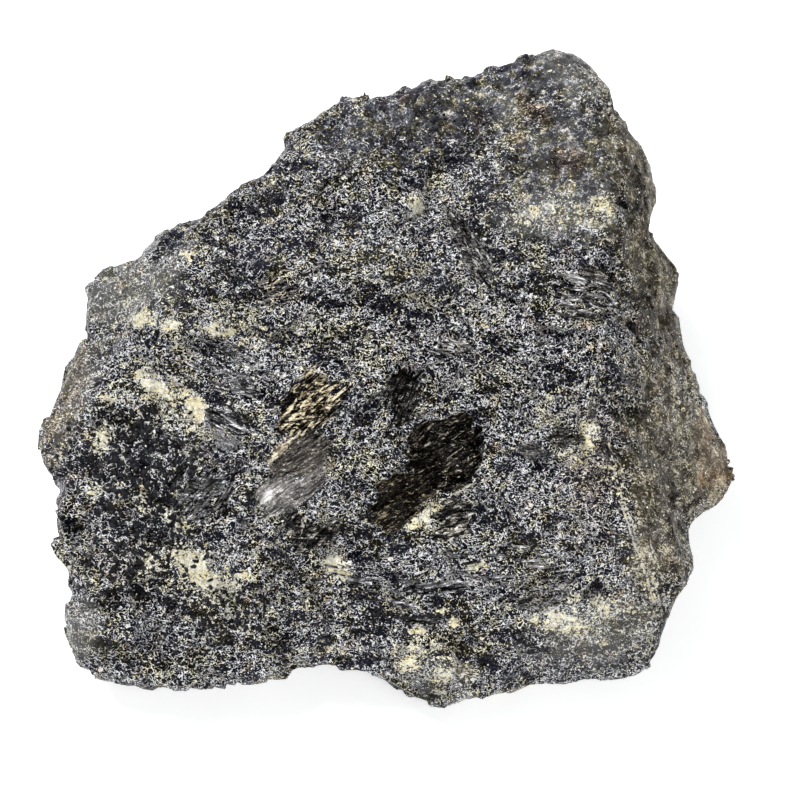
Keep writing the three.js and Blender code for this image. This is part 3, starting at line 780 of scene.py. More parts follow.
@dataclass
class StoneBody:
    """The whole stone as one fine mesh that stands for the CAD node."""

    source: bpy.types.Object
    frame: FaceFrame
    name: str = "stone_surface"
    fine: float = 0.56 * MM
    coarse: float = 1.3 * MM
    detail_share: float = 0.5
    detail_from: float = 0.3
    split_rounds: int = 6
    smooth_rounds: int = 6
    noise: LatticeNoise = field(default_factory=lambda: LatticeNoise(SEED))

    def build(self) -> bpy.types.Mesh:
        """Refines a copy of the CAD solid and breaks up its surface.

        Returns:
            The stone's mesh.
        """
        bm = bmesh.new()
        bm.from_mesh(self.source.data)
        bmesh.ops.remove_doubles(bm, verts=bm.verts, dist=WELD_DISTANCE)
        self._split(bm)
        for _ in range(self.smooth_rounds):
            bmesh.ops.smooth_vert(
                bm, verts=bm.verts, factor=0.5, use_axis_x=True, use_axis_y=True, use_axis_z=True
            )
        mesh = bpy.data.meshes.new(self.name)
        bm.to_mesh(mesh)
        bm.free()
        self._break_up(mesh)
        return mesh

    def dress(self, mesh: bpy.types.Mesh) -> None:
        """Gives the stone its material and its place in the model."""
        mesh.materials.append(RockFinish().build())
        stone = finish_piece(self.name, mesh, True)
        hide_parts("stone")

    def _split(self, bm: bmesh.types.BMesh) -> None:
        """Splits long edges until the broad face is fine, its crystals finer, and the hidden sides fair."""
        for _ in range(self.split_rounds):
            bm.normal_update()
            bm.verts.index_update()
            places = np.array([vert.co[:] for vert in bm.verts])
            outward = np.array([vert.normal[:] for vert in bm.verts]) @ self.frame.axes[2]
            ends = np.array([(edge.verts[0].index, edge.verts[1].index) for edge in bm.edges])
            lengths = np.linalg.norm(places[ends[:, 0]] - places[ends[:, 1]], axis=1)
            seen = np.maximum(outward[ends[:, 0]], outward[ends[:, 1]]) > 0.05
            middle = self.frame.to_face((places[ends[:, 0]] + places[ends[:, 1]]) / 2)
            near = np.zeros(len(ends), bool)
            for crystal in CRYSTALS:
                if crystal.splinters >= self.detail_from:
                    near |= crystal.depth(middle, np.zeros(len(ends))) > -0.6
            limit = np.where(seen, np.where(near, self.fine * self.detail_share, self.fine), self.coarse)
            long_edges = [edge for edge, long in zip(bm.edges, lengths > limit) if long]
            if not long_edges:
                break
            bmesh.ops.subdivide_edges(bm, edges=long_edges, cuts=1)
            bmesh.ops.triangulate(bm, faces=[face for face in bm.faces if len(face.verts) > 3])

    def _break_up(self, mesh: bpy.types.Mesh) -> None:
        """Moves the points into broken facets and hollows, and paints what grows there."""
        points = read_points(mesh)
        normals = read_points(mesh, "normal")
        face = self.frame.to_face(points)
        seen = smoothstep(-0.1, 0.25, normals @ self.frame.axes[2])

        ragged = self.noise.layered(face, 2.2, 4, 0.65)
        shares = {kind: np.zeros(len(points)) for kind in Growth}
        cleaved = self._cleave(face, ragged)
        sunk = cleaved.sunk * seen
        for patch in PATCHES:
            mask = patch.mask(face, ragged) * seen
            shares[patch.growth] = np.maximum(shares[patch.growth], mask)
            if patch.depth > 0:
                sunk = np.maximum(sunk, mask * patch.depth)
            else:
                sunk += mask * patch.depth

        millimetres = points / MM
        outward = normals @ self.frame.axes[2]
        leaning = 1 - smoothstep(0.3, 0.7, outward)
        outer_right = smoothstep(15.0, 25.0, face[:, 0]) * leaning
        inner = 1 - 0.5 * outer_right
        shift = np.zeros((len(points), 2))
        for push in PUSHES:
            push.add_to(shift, face)
        # Facets of three sizes, lower on the right and on the rim, and a fine roughness on them.
        broken = 0.16 * inner * self.noise.facets(millimetres, 8.5)
        broken += 0.22 * inner * self.noise.facets(millimetres + 40, 3.4)
        rim = 1 - smoothstep(0.2, 0.6, outward)
        broken += 0.17 * (1 - 0.6 * rim) * self.noise.facets(millimetres + 90, 1.35)
        broken += 0.10 * self.noise.layered(millimetres, 1.0, 2, 0.6)
        calm = (1 - 0.85 * cleaved.hidden * seen) * (1 - 0.35 * shares[OLIVE] - 0.25 * shares[PALE])
        amount = broken * calm - sunk
        moved = millimetres + normals * amount[:, None] + shift @ self.frame.axes[:2]
        resting = points[:, 2] < RESTING_HEIGHT
        moved[resting] = millimetres[resting]
        moved[:, 2] = np.maximum(moved[:, 2], 0.0)
        write_points(mesh, moved * MM)
        for kind, share in shares.items():
            write_share(mesh, kind.value, share)
        write_share(mesh, "edge", cleaved.edge * seen)
        write_share(mesh, "cover", cleaved.cover)
        write_share(mesh, "splinters", cleaved.splinters * seen)
        write_share(mesh, "bearing", cleaved.bearing)
        write_vector(mesh, "look", cleaved.look)
        write_vector(mesh, "run", cleaved.run)

    def _cleave(self, face: np.ndarray, ragged: np.ndarray) -> "Cleaved":
        """Works out which crystal shows at each point, and what it looks like there.

        Args:
            face: points as u, v, w rows.
            ragged: noise that frays edges.

        Returns:
            The crystals' fields, one value for each point.
        """
        count = len(face)
        fields = Cleaved(np.full(count, -9.0), *np.zeros((5, count)), *np.zeros((2, count, 3)))
        for number, crystal in enumerate(CRYSTALS):
            run = crystal.along(face, number)
            jag = 0.95 * self.noise.layered(run * np.array([0.08, 1.0, 1.0]), 0.8, 3, 0.85)
            depth = crystal.depth(face, jag) + 0.30 * ragged
            here = depth > fields.edge
            fields.edge[here] = depth[here]
            fields.cover[here] = crystal.cover
            fields.bearing[here] = crystal.run
            fields.splinters[here] = (crystal.splinters * smoothstep(0.0, 0.5, depth))[here]
            fields.look[here] = (crystal.sheen, crystal.golden, crystal.lined)
            fields.run[here] = run[here]
            inside = smoothstep(-0.25, 0.55, depth)
            terrace = 2.4 * self.noise.layered(run * np.array([0.16, 1.0, 1.0]), 1.7, 2, 0.7)
            stairs = crystal.step * (np.floor(terrace) + smoothstep(0.0, 0.3, terrace - np.floor(terrace)))
            ribs = 0.8 * crystal.step * self.noise.layered(run * np.array([0.1, 1.0, 1.0]), 0.8, 2, 0.7)
            fields.sunk = np.maximum(fields.sunk, inside * (crystal.sink - stairs - ribs))
            fields.hidden = np.maximum(fields.hidden, inside * crystal.cover)
        # Adds the spots, among them the painted highlights on the blade's foot, to the sheen.
        sheen = fields.look[:, 0]
        for gleam in GLEAMS:
            sheen = gleam.add_to(sheen, face, ragged)
        fields.look[:, 0] = sheen
        fields.edge = np.clip(0.5 + fields.edge / EDGE_REACH, 0.0, 1.0)
        return fields


@dataclass
class Cleaved:
    """What the crystals do at each point of the stone's surface."""

    edge: np.ndarray
    cover: np.ndarray
    bearing: np.ndarray
    splinters: np.ndarray
    sunk: np.ndarray
    hidden: np.ndarray
    look: np.ndarray
    run: np.ndarray


class Shape(Enum):
    """What one grain is cut from."""

    CRUMB = "crumb"  # rounded lump with many facets
    SPLINTER = "splinter"  # long chip that lies along the cleavage


@dataclass
class Spots:
    """Places picked for grains, and what the stone is like at each."""

    place: np.ndarray
    normal: np.ndarray
    larger: np.ndarray
    bearing: np.ndarray
    look: np.ndarray


@dataclass
class GrainScatter:
    """Thousands of small grains that stand out of the stone's surface, joined as one piece."""

    name: str
    slot: str
    finish: "GrainFinish | SplinterFinish"
    frame: FaceFrame
    shape: Shape
    count: int
    size: tuple[float, float]  # shortest and longest grain, in millimetres
    proportions: tuple[float, float, float]  # length, width and height of a grain against its size
    proud: float  # share of a grain's height that stands out of the stone
    tilt: float
    seed: int
    density: dict[Growth, float] = field(default_factory=dict)  # how much denser it is in each growth
    base_density: float = 0.0

    def build(self, rock: bpy.types.Mesh) -> bpy.types.Mesh:
        """Scatters the grains over the stone.

        Args:
            rock: the stone's mesh, with its growth attributes.

        Returns:
            The grains' mesh.
        """
        draw = np.random.default_rng(self.seed)
        spots = self._places(rock, draw)
        mesh = self._copies()
        shape = read_points(mesh).reshape(self.count, -1, 3)
        shape = shape * (1 + 0.28 * draw.uniform(-1, 1, shape.shape))
        low, high = self.size
        length = (low + (high - low) * draw.random(self.count) ** 2.2) * spots.larger
        spread = np.array(self.proportions) * draw.uniform(0.75, 1.25, (self.count, 3))
        shape = shape * (spread * length[:, None])[:, None, :] / 2
        forward, sideways, upward = self._bearings(spots, draw)
        centre = spots.place / MM + upward * (self.proud - 0.5) * (spread[:, 2] * length)[:, None]
        turned = (
            shape[:, :, 0:1] * forward[:, None, :]
            + shape[:, :, 1:2] * sideways[:, None, :]
            + shape[:, :, 2:3] * upward[:, None, :]
        )
        points = centre[:, None, :] + turned
        points[:, :, 2] = np.maximum(points[:, :, 2], 0.0)
        write_points(mesh, points.reshape(-1, 3) * MM)
        write_share(mesh, "tint", np.repeat(draw.random(self.count), shape.shape[1]))
        write_vector(mesh, "look", np.repeat(spots.look, shape.shape[1], axis=0))
        return mesh

    def dress(self, mesh: bpy.types.Mesh) -> None:
        """Gives the grains their material and their place in the model."""
        mesh.materials.append(self.finish.build())
        finish_piece(self.name, mesh, False)

    def _places(self, rock: bpy.types.Mesh, draw: np.random.Generator) -> Spots:
        """Picks spots on the stone, more where more grains grow.

        Args:
            rock: the stone's mesh.
            draw: the source of chance.

        Returns:
            The spots, and what the stone is like there.
        """
        points = read_points(rock)
        normals = read_points(rock, "normal")
        corners = np.empty(len(rock.polygons) * 3, np.int32)
        rock.polygons.foreach_get("vertices", corners)
        corners = corners.reshape(-1, 3)
        shown = smoothstep(0.25, 0.6, normals @ self.frame.axes[2])
        if self.shape is Shape.SPLINTER:
            growth = read_share(rock, "splinters")
        else:
            growth = np.full(len(points), self.base_density)
            for kind, gain in self.density.items():
                growth += gain * read_share(rock, kind.value)
            growth *= 1 - smoothstep(0.44, 0.56, read_share(rock, "edge")) * read_share(rock, "cover")
        edges = points[corners]
        area = np.linalg.norm(np.cross(edges[:, 1] - edges[:, 0], edges[:, 2] - edges[:, 0]), axis=1)
        weight = area * np.maximum(growth * shown, 0.0)[corners].mean(axis=1)
        weight *= edges[:, :, 2].min(axis=1) > 0.6 * MM
        picked = corners[draw.choice(len(corners), self.count, p=weight / weight.sum())]
        share = draw.dirichlet((1.0, 1.0, 1.0), self.count)
        facing = normals[picked].mean(axis=1)
        return Spots(
            np.einsum("ij,ijk->ik", share, points[picked]),
            facing / np.linalg.norm(facing, axis=1, keepdims=True),
            0.65 + 0.45 * read_share(rock, NET.value)[picked].mean(axis=1),
            read_share(rock, "bearing")[picked[:, 0]],
            read_vector(rock, "look")[picked[:, 0]],
        )

    def _bearings(
        self, spots: Spots, draw: np.random.Generator
    ) -> tuple[np.ndarray, np.ndarray, np.ndarray]:
        """Turns each grain about its surface, at random or along the cleavage, and tilts it a little.

        Args:
            spots: where the grains are.
            draw: the source of chance.

        Returns:
            The directions of each grain's length, width and height.
        """
        upward = spots.normal + self.tilt * draw.normal(size=spots.normal.shape) * 0.5
        upward /= np.linalg.norm(upward, axis=1, keepdims=True)
        any_way = draw.normal(size=spots.normal.shape) + np.array([1.1, -0.3, 0.0])
        if self.shape is Shape.SPLINTER:
            angle = np.radians(spots.bearing + 5.0 * draw.normal(size=self.count))
            across, up = self.frame.axes[0], self.frame.axes[1]
            any_way = np.cos(angle)[:, None] * across + np.sin(angle)[:, None] * up
        forward = np.cross(np.cross(upward, any_way), upward)
        forward /= np.linalg.norm(forward, axis=1, keepdims=True)
        return forward, np.cross(upward, forward), upward

    def _copies(self) -> bpy.types.Mesh:
        """Makes one grain and copies it until there are enough."""
        bm = bmesh.new()
        if self.shape is Shape.SPLINTER:
            bmesh.ops.create_cube(bm, size=2.0)
            bmesh.ops.triangulate(bm, faces=bm.faces[:])
        else:
            bmesh.ops.create_icosphere(bm, subdivisions=1, radius=1.1)
        one = len(bm.verts)
        while len(bm.verts) < one * self.count:
            left = self.count - len(bm.verts) // one
            verts = bm.verts[: one * left]
            faces = bm.faces[: len(bm.faces) * len(verts) // len(bm.verts)]
            edges = bm.edges[: len(bm.edges) * len(verts) // len(bm.verts)]
            bmesh.ops.duplicate(bm, geom=verts + edges + faces)
        mesh = bpy.data.meshes.new(self.name)
        bm.to_mesh(mesh)
        bm.free()
        return mesh


@dataclass(frozen=True)
class Vein:
    """A thin line of mineral grains across the face, in millimetres."""

    course: tuple[tuple[float, float], ...]
    width: float = 0.14
    gaps: float = 0.35


PALE_VEINS = (
    Vein(((5.7, -16.7), (7.2, -15.8), (8.6, -15.2), (10.0, -14.3), (10.9, -13.9)), 0.20, 0.25),
    Vein(((6.3, -5.9), (7.6, -5.4), (8.9, -4.9)), 0.17, 0.3),
    Vein(((8.3, -11.9), (9.1, -11.2), (9.9, -10.8)), 0.15),
    Vein(((11.3, -5.6), (11.8, -7.4), (12.0, -9.6), (11.7, -11.4)), 0.20, 0.8),
    Vein(((4.9, -7.4), (6.8, -7.9), (8.6, -8.9), (9.6, -10.0)), 0.10, 0.5),
    Vein(((4.4, -9.3), (5.6, -8.7)), 0.12, 0.4),
    Vein(((6.9, -14.4), (7.0, -13.4)), 0.12, 0.4),
    Vein(((6.4, -19.2), (7.2, -18.5), (8.1, -18.0)), 0.17, 0.25),
    Vein(((6.7, -20.4), (8.0, -20.0), (9.2, -19.4)), 0.15, 0.4),
    Vein(((6.9, -21.6), (8.0, -21.0), (9.6, -20.7)), 0.18, 0.45),
    Vein(((-11.7, -21.0), (-11.3, -19.6), (-10.9, -18.4)), 0.17, 0.3),
    Vein(((-11.2, -20.4), (-10.8, -19.2)), 0.13, 0.4),
    Vein(((-8.7, -21.8), (-8.0, -20.9), (-7.2, -20.1)), 0.16, 0.4),
    Vein(((-9.4, -19.6), (-8.2, -19.2), (-7.0, -18.9)), 0.18, 0.45),
    Vein(((-31.9, 1.8), (-30.2, 0.8), (-28.6, -0.3), (-27.0, -1.4), (-25.6, -2.2)), 0.20, 0.35),
    Vein(((-30.4, 1.9), (-29.2, 1.0), (-28.0, -0.2)), 0.15, 0.45),
    Vein(((-26.9, -2.0), (-25.6, -2.4), (-24.4, -3.0)), 0.2, 0.5),
    Vein(((-38.6, -16.0), (-37.2, -15.4), (-35.0, -14.6), (-33.0, -14.8)), 0.18, 0.65),
    Vein(((-36.0, -9.0), (-35.0, -10.2), (-34.0, -11.3)), 0.16, 0.45),
    Vein(((-40.2, -17.6), (-39.0, -18.4), (-38.2, -19.0)), 0.15, 0.45),
    Vein(((-36.0, -7.4), (-33.4, -7.5), (-31.0, -7.2), (-29.0, -6.8)), 0.17, 0.65),
    Vein(((-37.6, -3.0), (-35.4, -3.4), (-33.2, -3.4)), 0.24, 0.55),
    Vein(((-32.0, -14.0), (-32.2, -15.8)), 0.24, 0.45),
    Vein(((-19.0, -23.0), (-16.6, -22.2), (-14.2, -21.6)), 0.14, 0.6),
    Vein(((-24.0, -28.6), (-20.0, -28.8), (-16.8, -29.4)), 0.15, 0.7),
    Vein(((26.0, -17.6), (25.6, -20.4), (26.4, -23.6)), 0.16, 0.6),
    Vein(((36.0, 2.0), (36.6, -2.4), (36.2, -6.4)), 0.18, 0.7),
    Vein(((13.5, -30.0), (15.6, -28.2), (17.6, -26.2), (19.8, -24.2), (21.8, -22.4)), 0.15, 0.3),
    Vein(((27.6, -8.4), (28.4, -12.2), (29.4, -15.6), (31.0, -19.8)), 0.24, 0.55),
    Vein(((29.2, -16.0), (30.6, -20.4), (32.2, -24.6), (33.6, -29.4)), 0.26, 0.5),
    Vein(((30.6, -19.0), (32.2, -23.4), (34.0, -27.8), (34.8, -31.6)), 0.22, 0.6),
    Vein(((33.2, -22.0), (34.6, -26.0), (35.2, -30.0)), 0.2, 0.6),
    Vein(((35.0, -3.0), (35.8, -7.4), (37.2, -11.0)), 0.2, 0.65),
    Vein(((38.0, 1.0), (38.6, -3.4), (39.2, -7.0)), 0.2, 0.65),
)

DARK_SEAMS = (
    Vein(
        ((-24.0, -5.6), (-23.4, -4.6), (-22.2, -3.8), (-20.8, -4.3), (-19.6, -5.6), (-19.3, -6.8)),
        0.26, 0.05,
    ),
    Vein(((-23.4, -5.0), (-21.8, -5.9), (-20.4, -6.8)), 0.15, 0.2),
    Vein(((-23.0, -5.9), (-21.4, -6.8), (-19.6, -7.9)), 0.2, 0.1),
    Vein(((-22.6, -4.6), (-21.2, -5.2), (-20.0, -6.2)), 0.13, 0.2),
    Vein(((-13.8, -3.9), (-12.8, -3.0), (-11.4, -1.9), (-10.6, -1.0)), 0.3, 0.1),
    Vein(((-12.9, -5.0), (-11.2, -3.7), (-9.4, -2.5)), 0.2, 0.2),
    Vein(((-12.2, -6.4), (-10.4, -5.0), (-8.8, -3.7)), 0.18, 0.2),
    Vein(((-10.4, -6.3), (-8.6, -5.1), (-6.8, -4.3)), 0.34, 0.05),
    Vein(((-11.6, -16.9), (-9.8, -15.5), (-8.2, -14.2)), 0.2, 0.3),
    Vein(((-14.2, -18.6), (-13.0, -19.4), (-12.2, -20.2)), 0.5, 0.1),
    Vein(((-10.6, -21.6), (-9.6, -21.0), (-8.8, -20.4)), 0.45, 0.1),
    Vein(((-8.6, -21.4), (-7.6, -20.4), (-6.8, -19.8)), 0.26, 0.1),
    Vein(((6.4, -18.2), (7.6, -17.4), (8.8, -17.2)), 0.42, 0.1),
    Vein(((6.6, -19.8), (7.8, -19.2), (8.8, -18.8)), 0.28, 0.1),
    Vein(((6.8, -21.0), (8.0, -20.5), (9.2, -20.2)), 0.24, 0.15),
    Vein(((-28.2, -14.2), (-27.4, -13.0), (-26.6, -11.8)), 0.36, 0.1),
    Vein(((1.0, -31.4), (3.4, -31.3), (6.0, -30.9)), 0.4, 0.15),
    Vein(((18.6, 3.6), (19.2, 3.8), (19.6, 3.7)), 0.3, 0.1),
)


@dataclass
class VeinGrains:
    """Short chips strung along veins, joined as one piece."""

    name: str
    slot: str
    finish: "GrainFinish"
    veins: tuple[Vein, ...]
    frame: FaceFrame
    spacing: float = 0.13
    seed: int = SEED + 5

    def build(self, rock: bpy.types.Mesh) -> bpy.types.Mesh:
        """Strings the chips along their courses, on the stone's surface.

        Args:
            rock: the stone's mesh.

        Returns:
            The chips' mesh.
        """
        draw = np.random.default_rng(self.seed)
        surface = BVHTree.FromPolygons(
            [vert.co for vert in rock.vertices], [tuple(face.vertices) for face in rock.polygons]
        )
        bm = bmesh.new()
        for vein in self.veins:
            for start, end in zip(vein.course, vein.course[1:]):
                self._string(bm, vein, np.array(start), np.array(end), surface, draw)
        mesh = bpy.data.meshes.new(self.name)
        bm.to_mesh(mesh)
        bm.free()
        write_share(mesh, "tint", np.full(len(mesh.vertices), 0.45))
        return mesh

    def dress(self, mesh: bpy.types.Mesh) -> None:
        """Gives the veins their material and their place in the model."""
        mesh.materials.append(self.finish.build())
        finish_piece(self.name, mesh, False)

    def _string(
        self,
        bm: bmesh.types.BMesh,
        vein: Vein,
        start: np.ndarray,
        end: np.ndarray,
        surface: BVHTree,
        draw: np.random.Generator,
    ) -> None:
        """Lays chips from one corner of a vein's course to the next.

        Args:
            bm: the mesh that the chips are added to.
            vein: its width and gaps.
            start: u and v of the first corner.
            end: u and v of the last corner.
            surface: the stone's surface.
            draw: the source of chance.
        """
        run = end - start
        length = float(np.hypot(*run))
        bearing = Matrix.Rotation(math.atan2(run[1], run[0]), 4, "Z")
        for step in range(max(1, round(length / self.spacing))):
            if draw.random() < vein.gaps:
                continue
            spot = start + run * (step + draw.random()) * self.spacing / length
            spot = spot + draw.normal(size=2) * 0.25 * vein.width
            origin = Vector(self.frame.to_model(np.array([[spot[0], spot[1], 60.0]]))[0])
            place, _, _, _ = surface.ray_cast(origin, Vector(-self.frame.axes[2]))
            if place is None:
                continue
            size = vein.width * MM * (0.6 + 0.8 * draw.random())
            lean = Matrix([[*row] for row in self.frame.axes.T]).to_4x4()
            twist = Matrix.Rotation(0.5 * draw.normal(), 4, "Z")
            twist = twist @ Matrix.Rotation(0.4 * draw.normal(), 4, "X")
            shape = Matrix.Diagonal((size * (0.7 + 0.9 * draw.random()), size * 0.5, size * 0.4, 1.0))
            matrix = Matrix.Translation(place) @ lean @ bearing @ twist @ shape
            bmesh.ops.create_icosphere(bm, subdivisions=1, radius=1.0, matrix=matrix)


# ---------------------------------------------------------------------------------------------------
# Materials
# ---------------------------------------------------------------------------------------------------


class Board:
    """A node tree with short ways to add and join its nodes."""

    def __init__(self, tree: bpy.types.NodeTree) -> None:
        """Clears the tree.

        Args:
            tree: a material's or a group's node tree.
        """
        self.tree = tree
        tree.nodes.clear()

    @classmethod
    def of_group(cls, name: str, taken: dict[str, str], given: dict[str, str]) -> "Board":
        """Starts a node group.

        Args:
            name: the group's name.
            taken: its inputs, each with its kind.
            given: its outputs, each with its kind.

        Returns:
            A board on the new group's tree.
        """
        board = cls(bpy.data.node_groups.new(name, "ShaderNodeTree"))
        for way, sockets in (("INPUT", taken), ("OUTPUT", given)):
            for title, kind in sockets.items():
                board.tree.interface.new_socket(title, in_out=way, socket_type="NodeSocket" + kind)
        return board

    @classmethod
    def of_material(cls, name: str) -> tuple["Board", bpy.types.Material]:
        """Starts a material, and a board on its tree."""
        material = bpy.data.materials.new(name)
        material.use_nodes = True
        return cls(material.node_tree), material

    def give(self, **results: object) -> bpy.types.NodeTree:
        """Joins results to the group's outputs, and hands over its tree."""
        out = self.add("NodeGroupOutput")
        for title, value in results.items():
            self.feed(out.inputs[title], value)
        return self.tree

    def add(self, kind: str, **settings: object) -> bpy.types.Node:
        """Adds a node and sets its properties."""
        node = self.tree.nodes.new(kind)
        for key, value in settings.items():
            setattr(node, key, value)
        return node

    def feed(self, socket: bpy.types.NodeSocket, value: object) -> None:
        """Links an output to a socket, or sets the socket's own value."""
        if isinstance(value, bpy.types.NodeSocket):
            self.tree.links.new(value, socket)
        else:
            socket.default_value = value

    def math(self, operation: str, first: object, second: object = 0.0) -> bpy.types.NodeSocket:
        """One arithmetic step."""
        node = self.add("ShaderNodeMath", operation=operation)
        self.feed(node.inputs[0], first)
        self.feed(node.inputs[1], second)
        return node.outputs[0]

    def product(self, first: object, *others: object) -> bpy.types.NodeSocket:
        """Multiplies values."""
        for other in others:
            first = self.math("MULTIPLY", first, other)
        return first

    def total(self, *terms: tuple[object, float]) -> bpy.types.NodeSocket:
        """Adds up values, each with its weight."""
        result = 0.0
        for value, weight in terms:
            node = self.add("ShaderNodeMath", operation="MULTIPLY_ADD")
            self.feed(node.inputs[0], value)
            self.feed(node.inputs[1], weight)
            self.feed(node.inputs[2], result)
            result = node.outputs[0]
        return result

    def vector(self, operation: str, first: object, second: object) -> bpy.types.NodeSocket:
        """One vector step."""
        node = self.add("ShaderNodeVectorMath", operation=operation)
        self.feed(node.inputs[0], first)
        if operation == "SCALE":
            self.feed(node.inputs["Scale"], second)
        else:
            self.feed(node.inputs[1], second)
        return node.outputs["Vector"]

    def moved(self, vector: object, step: object) -> bpy.types.NodeSocket:
        """Moves a pattern."""
        return self.vector("ADD", vector, step)

    def stretched(self, vector: object, scale: tuple[float, float, float]) -> bpy.types.NodeSocket:
        """Stretches a pattern."""
        return self.vector("MULTIPLY", vector, scale)

    def stirred(
        self, vector: object, place: object, scale: float, detail: float, rough: float, reach: float
    ) -> bpy.types.NodeSocket:
        """Moves a pattern about by a noise.

        Args:
            vector: the pattern's coordinates.
            place: the noise's coordinates.
            scale: how fine the noise is.
            detail: how many finer layers it has.
            rough: how strong they are.
            reach: how far it moves the pattern.

        Returns:
            The moved coordinates.
        """
        cloud = self.noise(place, scale, detail, rough).outputs["Color"]
        push = self.vector("SCALE", self.vector("SUBTRACT", cloud, MIDDLE_COLOUR), reach)
        return self.moved(vector, push)

    def spun(self, vector: object, turn: object) -> bpy.types.NodeSocket:
        """Turns a pattern about the direction that the broad face looks in, by a share of a half turn."""
        node = self.add("ShaderNodeVectorRotate", rotation_type="AXIS_ANGLE")
        self.feed(node.inputs["Vector"], vector)
        self.feed(node.inputs["Axis"], FACE_DIRECTION)
        self.feed(node.inputs["Angle"], self.product(turn, HALF_TURN))
        return node.outputs[0]

    def parts(self, colour: object) -> list[bpy.types.NodeSocket]:
        """Takes a colour apart, into red, green and blue."""
        node = self.add("ShaderNodeSeparateColor")
        self.feed(node.inputs[0], colour)
        return node.outputs[:]

    def crease(
        self, vector: object, scale: float, detail: float, width: float, core: float = 0.010
    ) -> bpy.types.NodeSocket:
        """Thin lines where a noise crosses nought.

        Args:
            vector: the noise's coordinates.
            scale: how fine it is.
            detail: how many finer layers it has.
            width: value at which a line has faded.
            core: value at which it is full.

        Returns:
            A share from 0 to 1.
        """
        return self.remap(self.math("ABSOLUTE", self.swell(vector, scale, detail, 0.6)), width, core)

    def turned(
        self, vector: object, degrees: float, scale: tuple[float, float, float]
    ) -> bpy.types.NodeSocket:
        """Turns a pattern about the vertical and stretches it."""
        node = self.add("ShaderNodeMapping")
        self.feed(node.inputs["Vector"], vector)
        node.inputs["Rotation"].default_value = (0.0, 0.0, math.radians(degrees))
        node.inputs["Scale"].default_value = scale
        return node.outputs["Vector"]

    def remap(
        self, value: object, low: float, high: float, start: float = 0.0, end: float = 1.0
    ) -> bpy.types.NodeSocket:
        """Takes low to high smoothly onto start to end."""
        node = self.add("ShaderNodeMapRange", interpolation_type="SMOOTHSTEP")
        for socket, number in zip(node.inputs[:5], (value, low, high, start, end)):
            self.feed(socket, number)
        return node.outputs["Result"]

    def mix(self, share: object, first: object, second: object) -> bpy.types.NodeSocket:
        """Mixes two colours."""
        node = self.add("ShaderNodeMix", data_type="RGBA", clamp_factor=True)
        self.feed(node.inputs[0], share)
        self.feed(node.inputs[6], first)
        self.feed(node.inputs[7], second)
        return node.outputs[2]

    def noise(self, vector: object, scale: float, detail: float = 2.0, rough: float = 0.5) -> bpy.types.Node:
        """Adds a noise texture."""
        node = self.add("ShaderNodeTexNoise")
        self.feed(node.inputs["Vector"], vector)
        node.inputs["Scale"].default_value = scale
        node.inputs["Detail"].default_value = detail
        node.inputs["Roughness"].default_value = rough
        return node

    def swell(
        self, vector: object, scale: float, detail: float = 2.0, rough: float = 0.5
    ) -> bpy.types.NodeSocket:
        """Noise that swings about nought."""
        return self.math("SUBTRACT", self.noise(vector, scale, detail, rough).outputs["Fac"], 0.5)

    def voronoi(self, vector: object, scale: float, feature: str = "F1") -> bpy.types.Node:
        """Adds a cell texture."""
        node = self.add("ShaderNodeTexVoronoi", feature=feature)
        self.feed(node.inputs["Vector"], vector)
        node.inputs["Scale"].default_value = scale
        return node

    def ramp(self, value: object, stops: tuple) -> bpy.types.NodeSocket:
        """Takes a value through colour stops, each a place and a colour."""
        node = self.add("ShaderNodeValToRGB")
        self.feed(node.inputs[0], value)
        bars = node.color_ramp.elements
        while len(bars) < len(stops):
            bars.new(1.0)
        for bar, (place, colour) in zip(bars, stops):
            bar.position = place
            bar.color = (*colour, 1.0)
        return node.outputs[0]

    def attribute(self, name: str, output: str = "Fac") -> bpy.types.NodeSocket:
        """Reads one of the mesh's attributes."""
        return self.add("ShaderNodeAttribute", attribute_name=name).outputs[output]

    def millimetres(self) -> bpy.types.NodeSocket:
        """The place on the object, in millimetres."""
        return self.vector("SCALE", self.add("ShaderNodeTexCoord").outputs["Object"], 1000.0)

    def bump(self, height: object, strength: float, distance: float) -> bpy.types.NodeSocket:
        """Roughens the surface by a height in millimetres."""
        node = self.add("ShaderNodeBump")
        node.inputs["Strength"].default_value = strength
        node.inputs["Distance"].default_value = distance * MM
        self.feed(node.inputs["Height"], height)
        return node.outputs["Normal"]

    def principled(
        self, colour: object, roughness: object, normal: object, specular: float
    ) -> bpy.types.Node:
        """Adds the surface shader and joins it to the output."""
        shader = self.add("ShaderNodeBsdfPrincipled")
        self.feed(shader.inputs["Base Color"], colour)
        self.feed(shader.inputs["Roughness"], roughness)
        self.feed(shader.inputs["Normal"], normal)
        shader.inputs["Specular IOR Level"].default_value = specular
        self.feed(self.add("ShaderNodeOutputMaterial").inputs["Surface"], shader.outputs["BSDF"])
        return shader


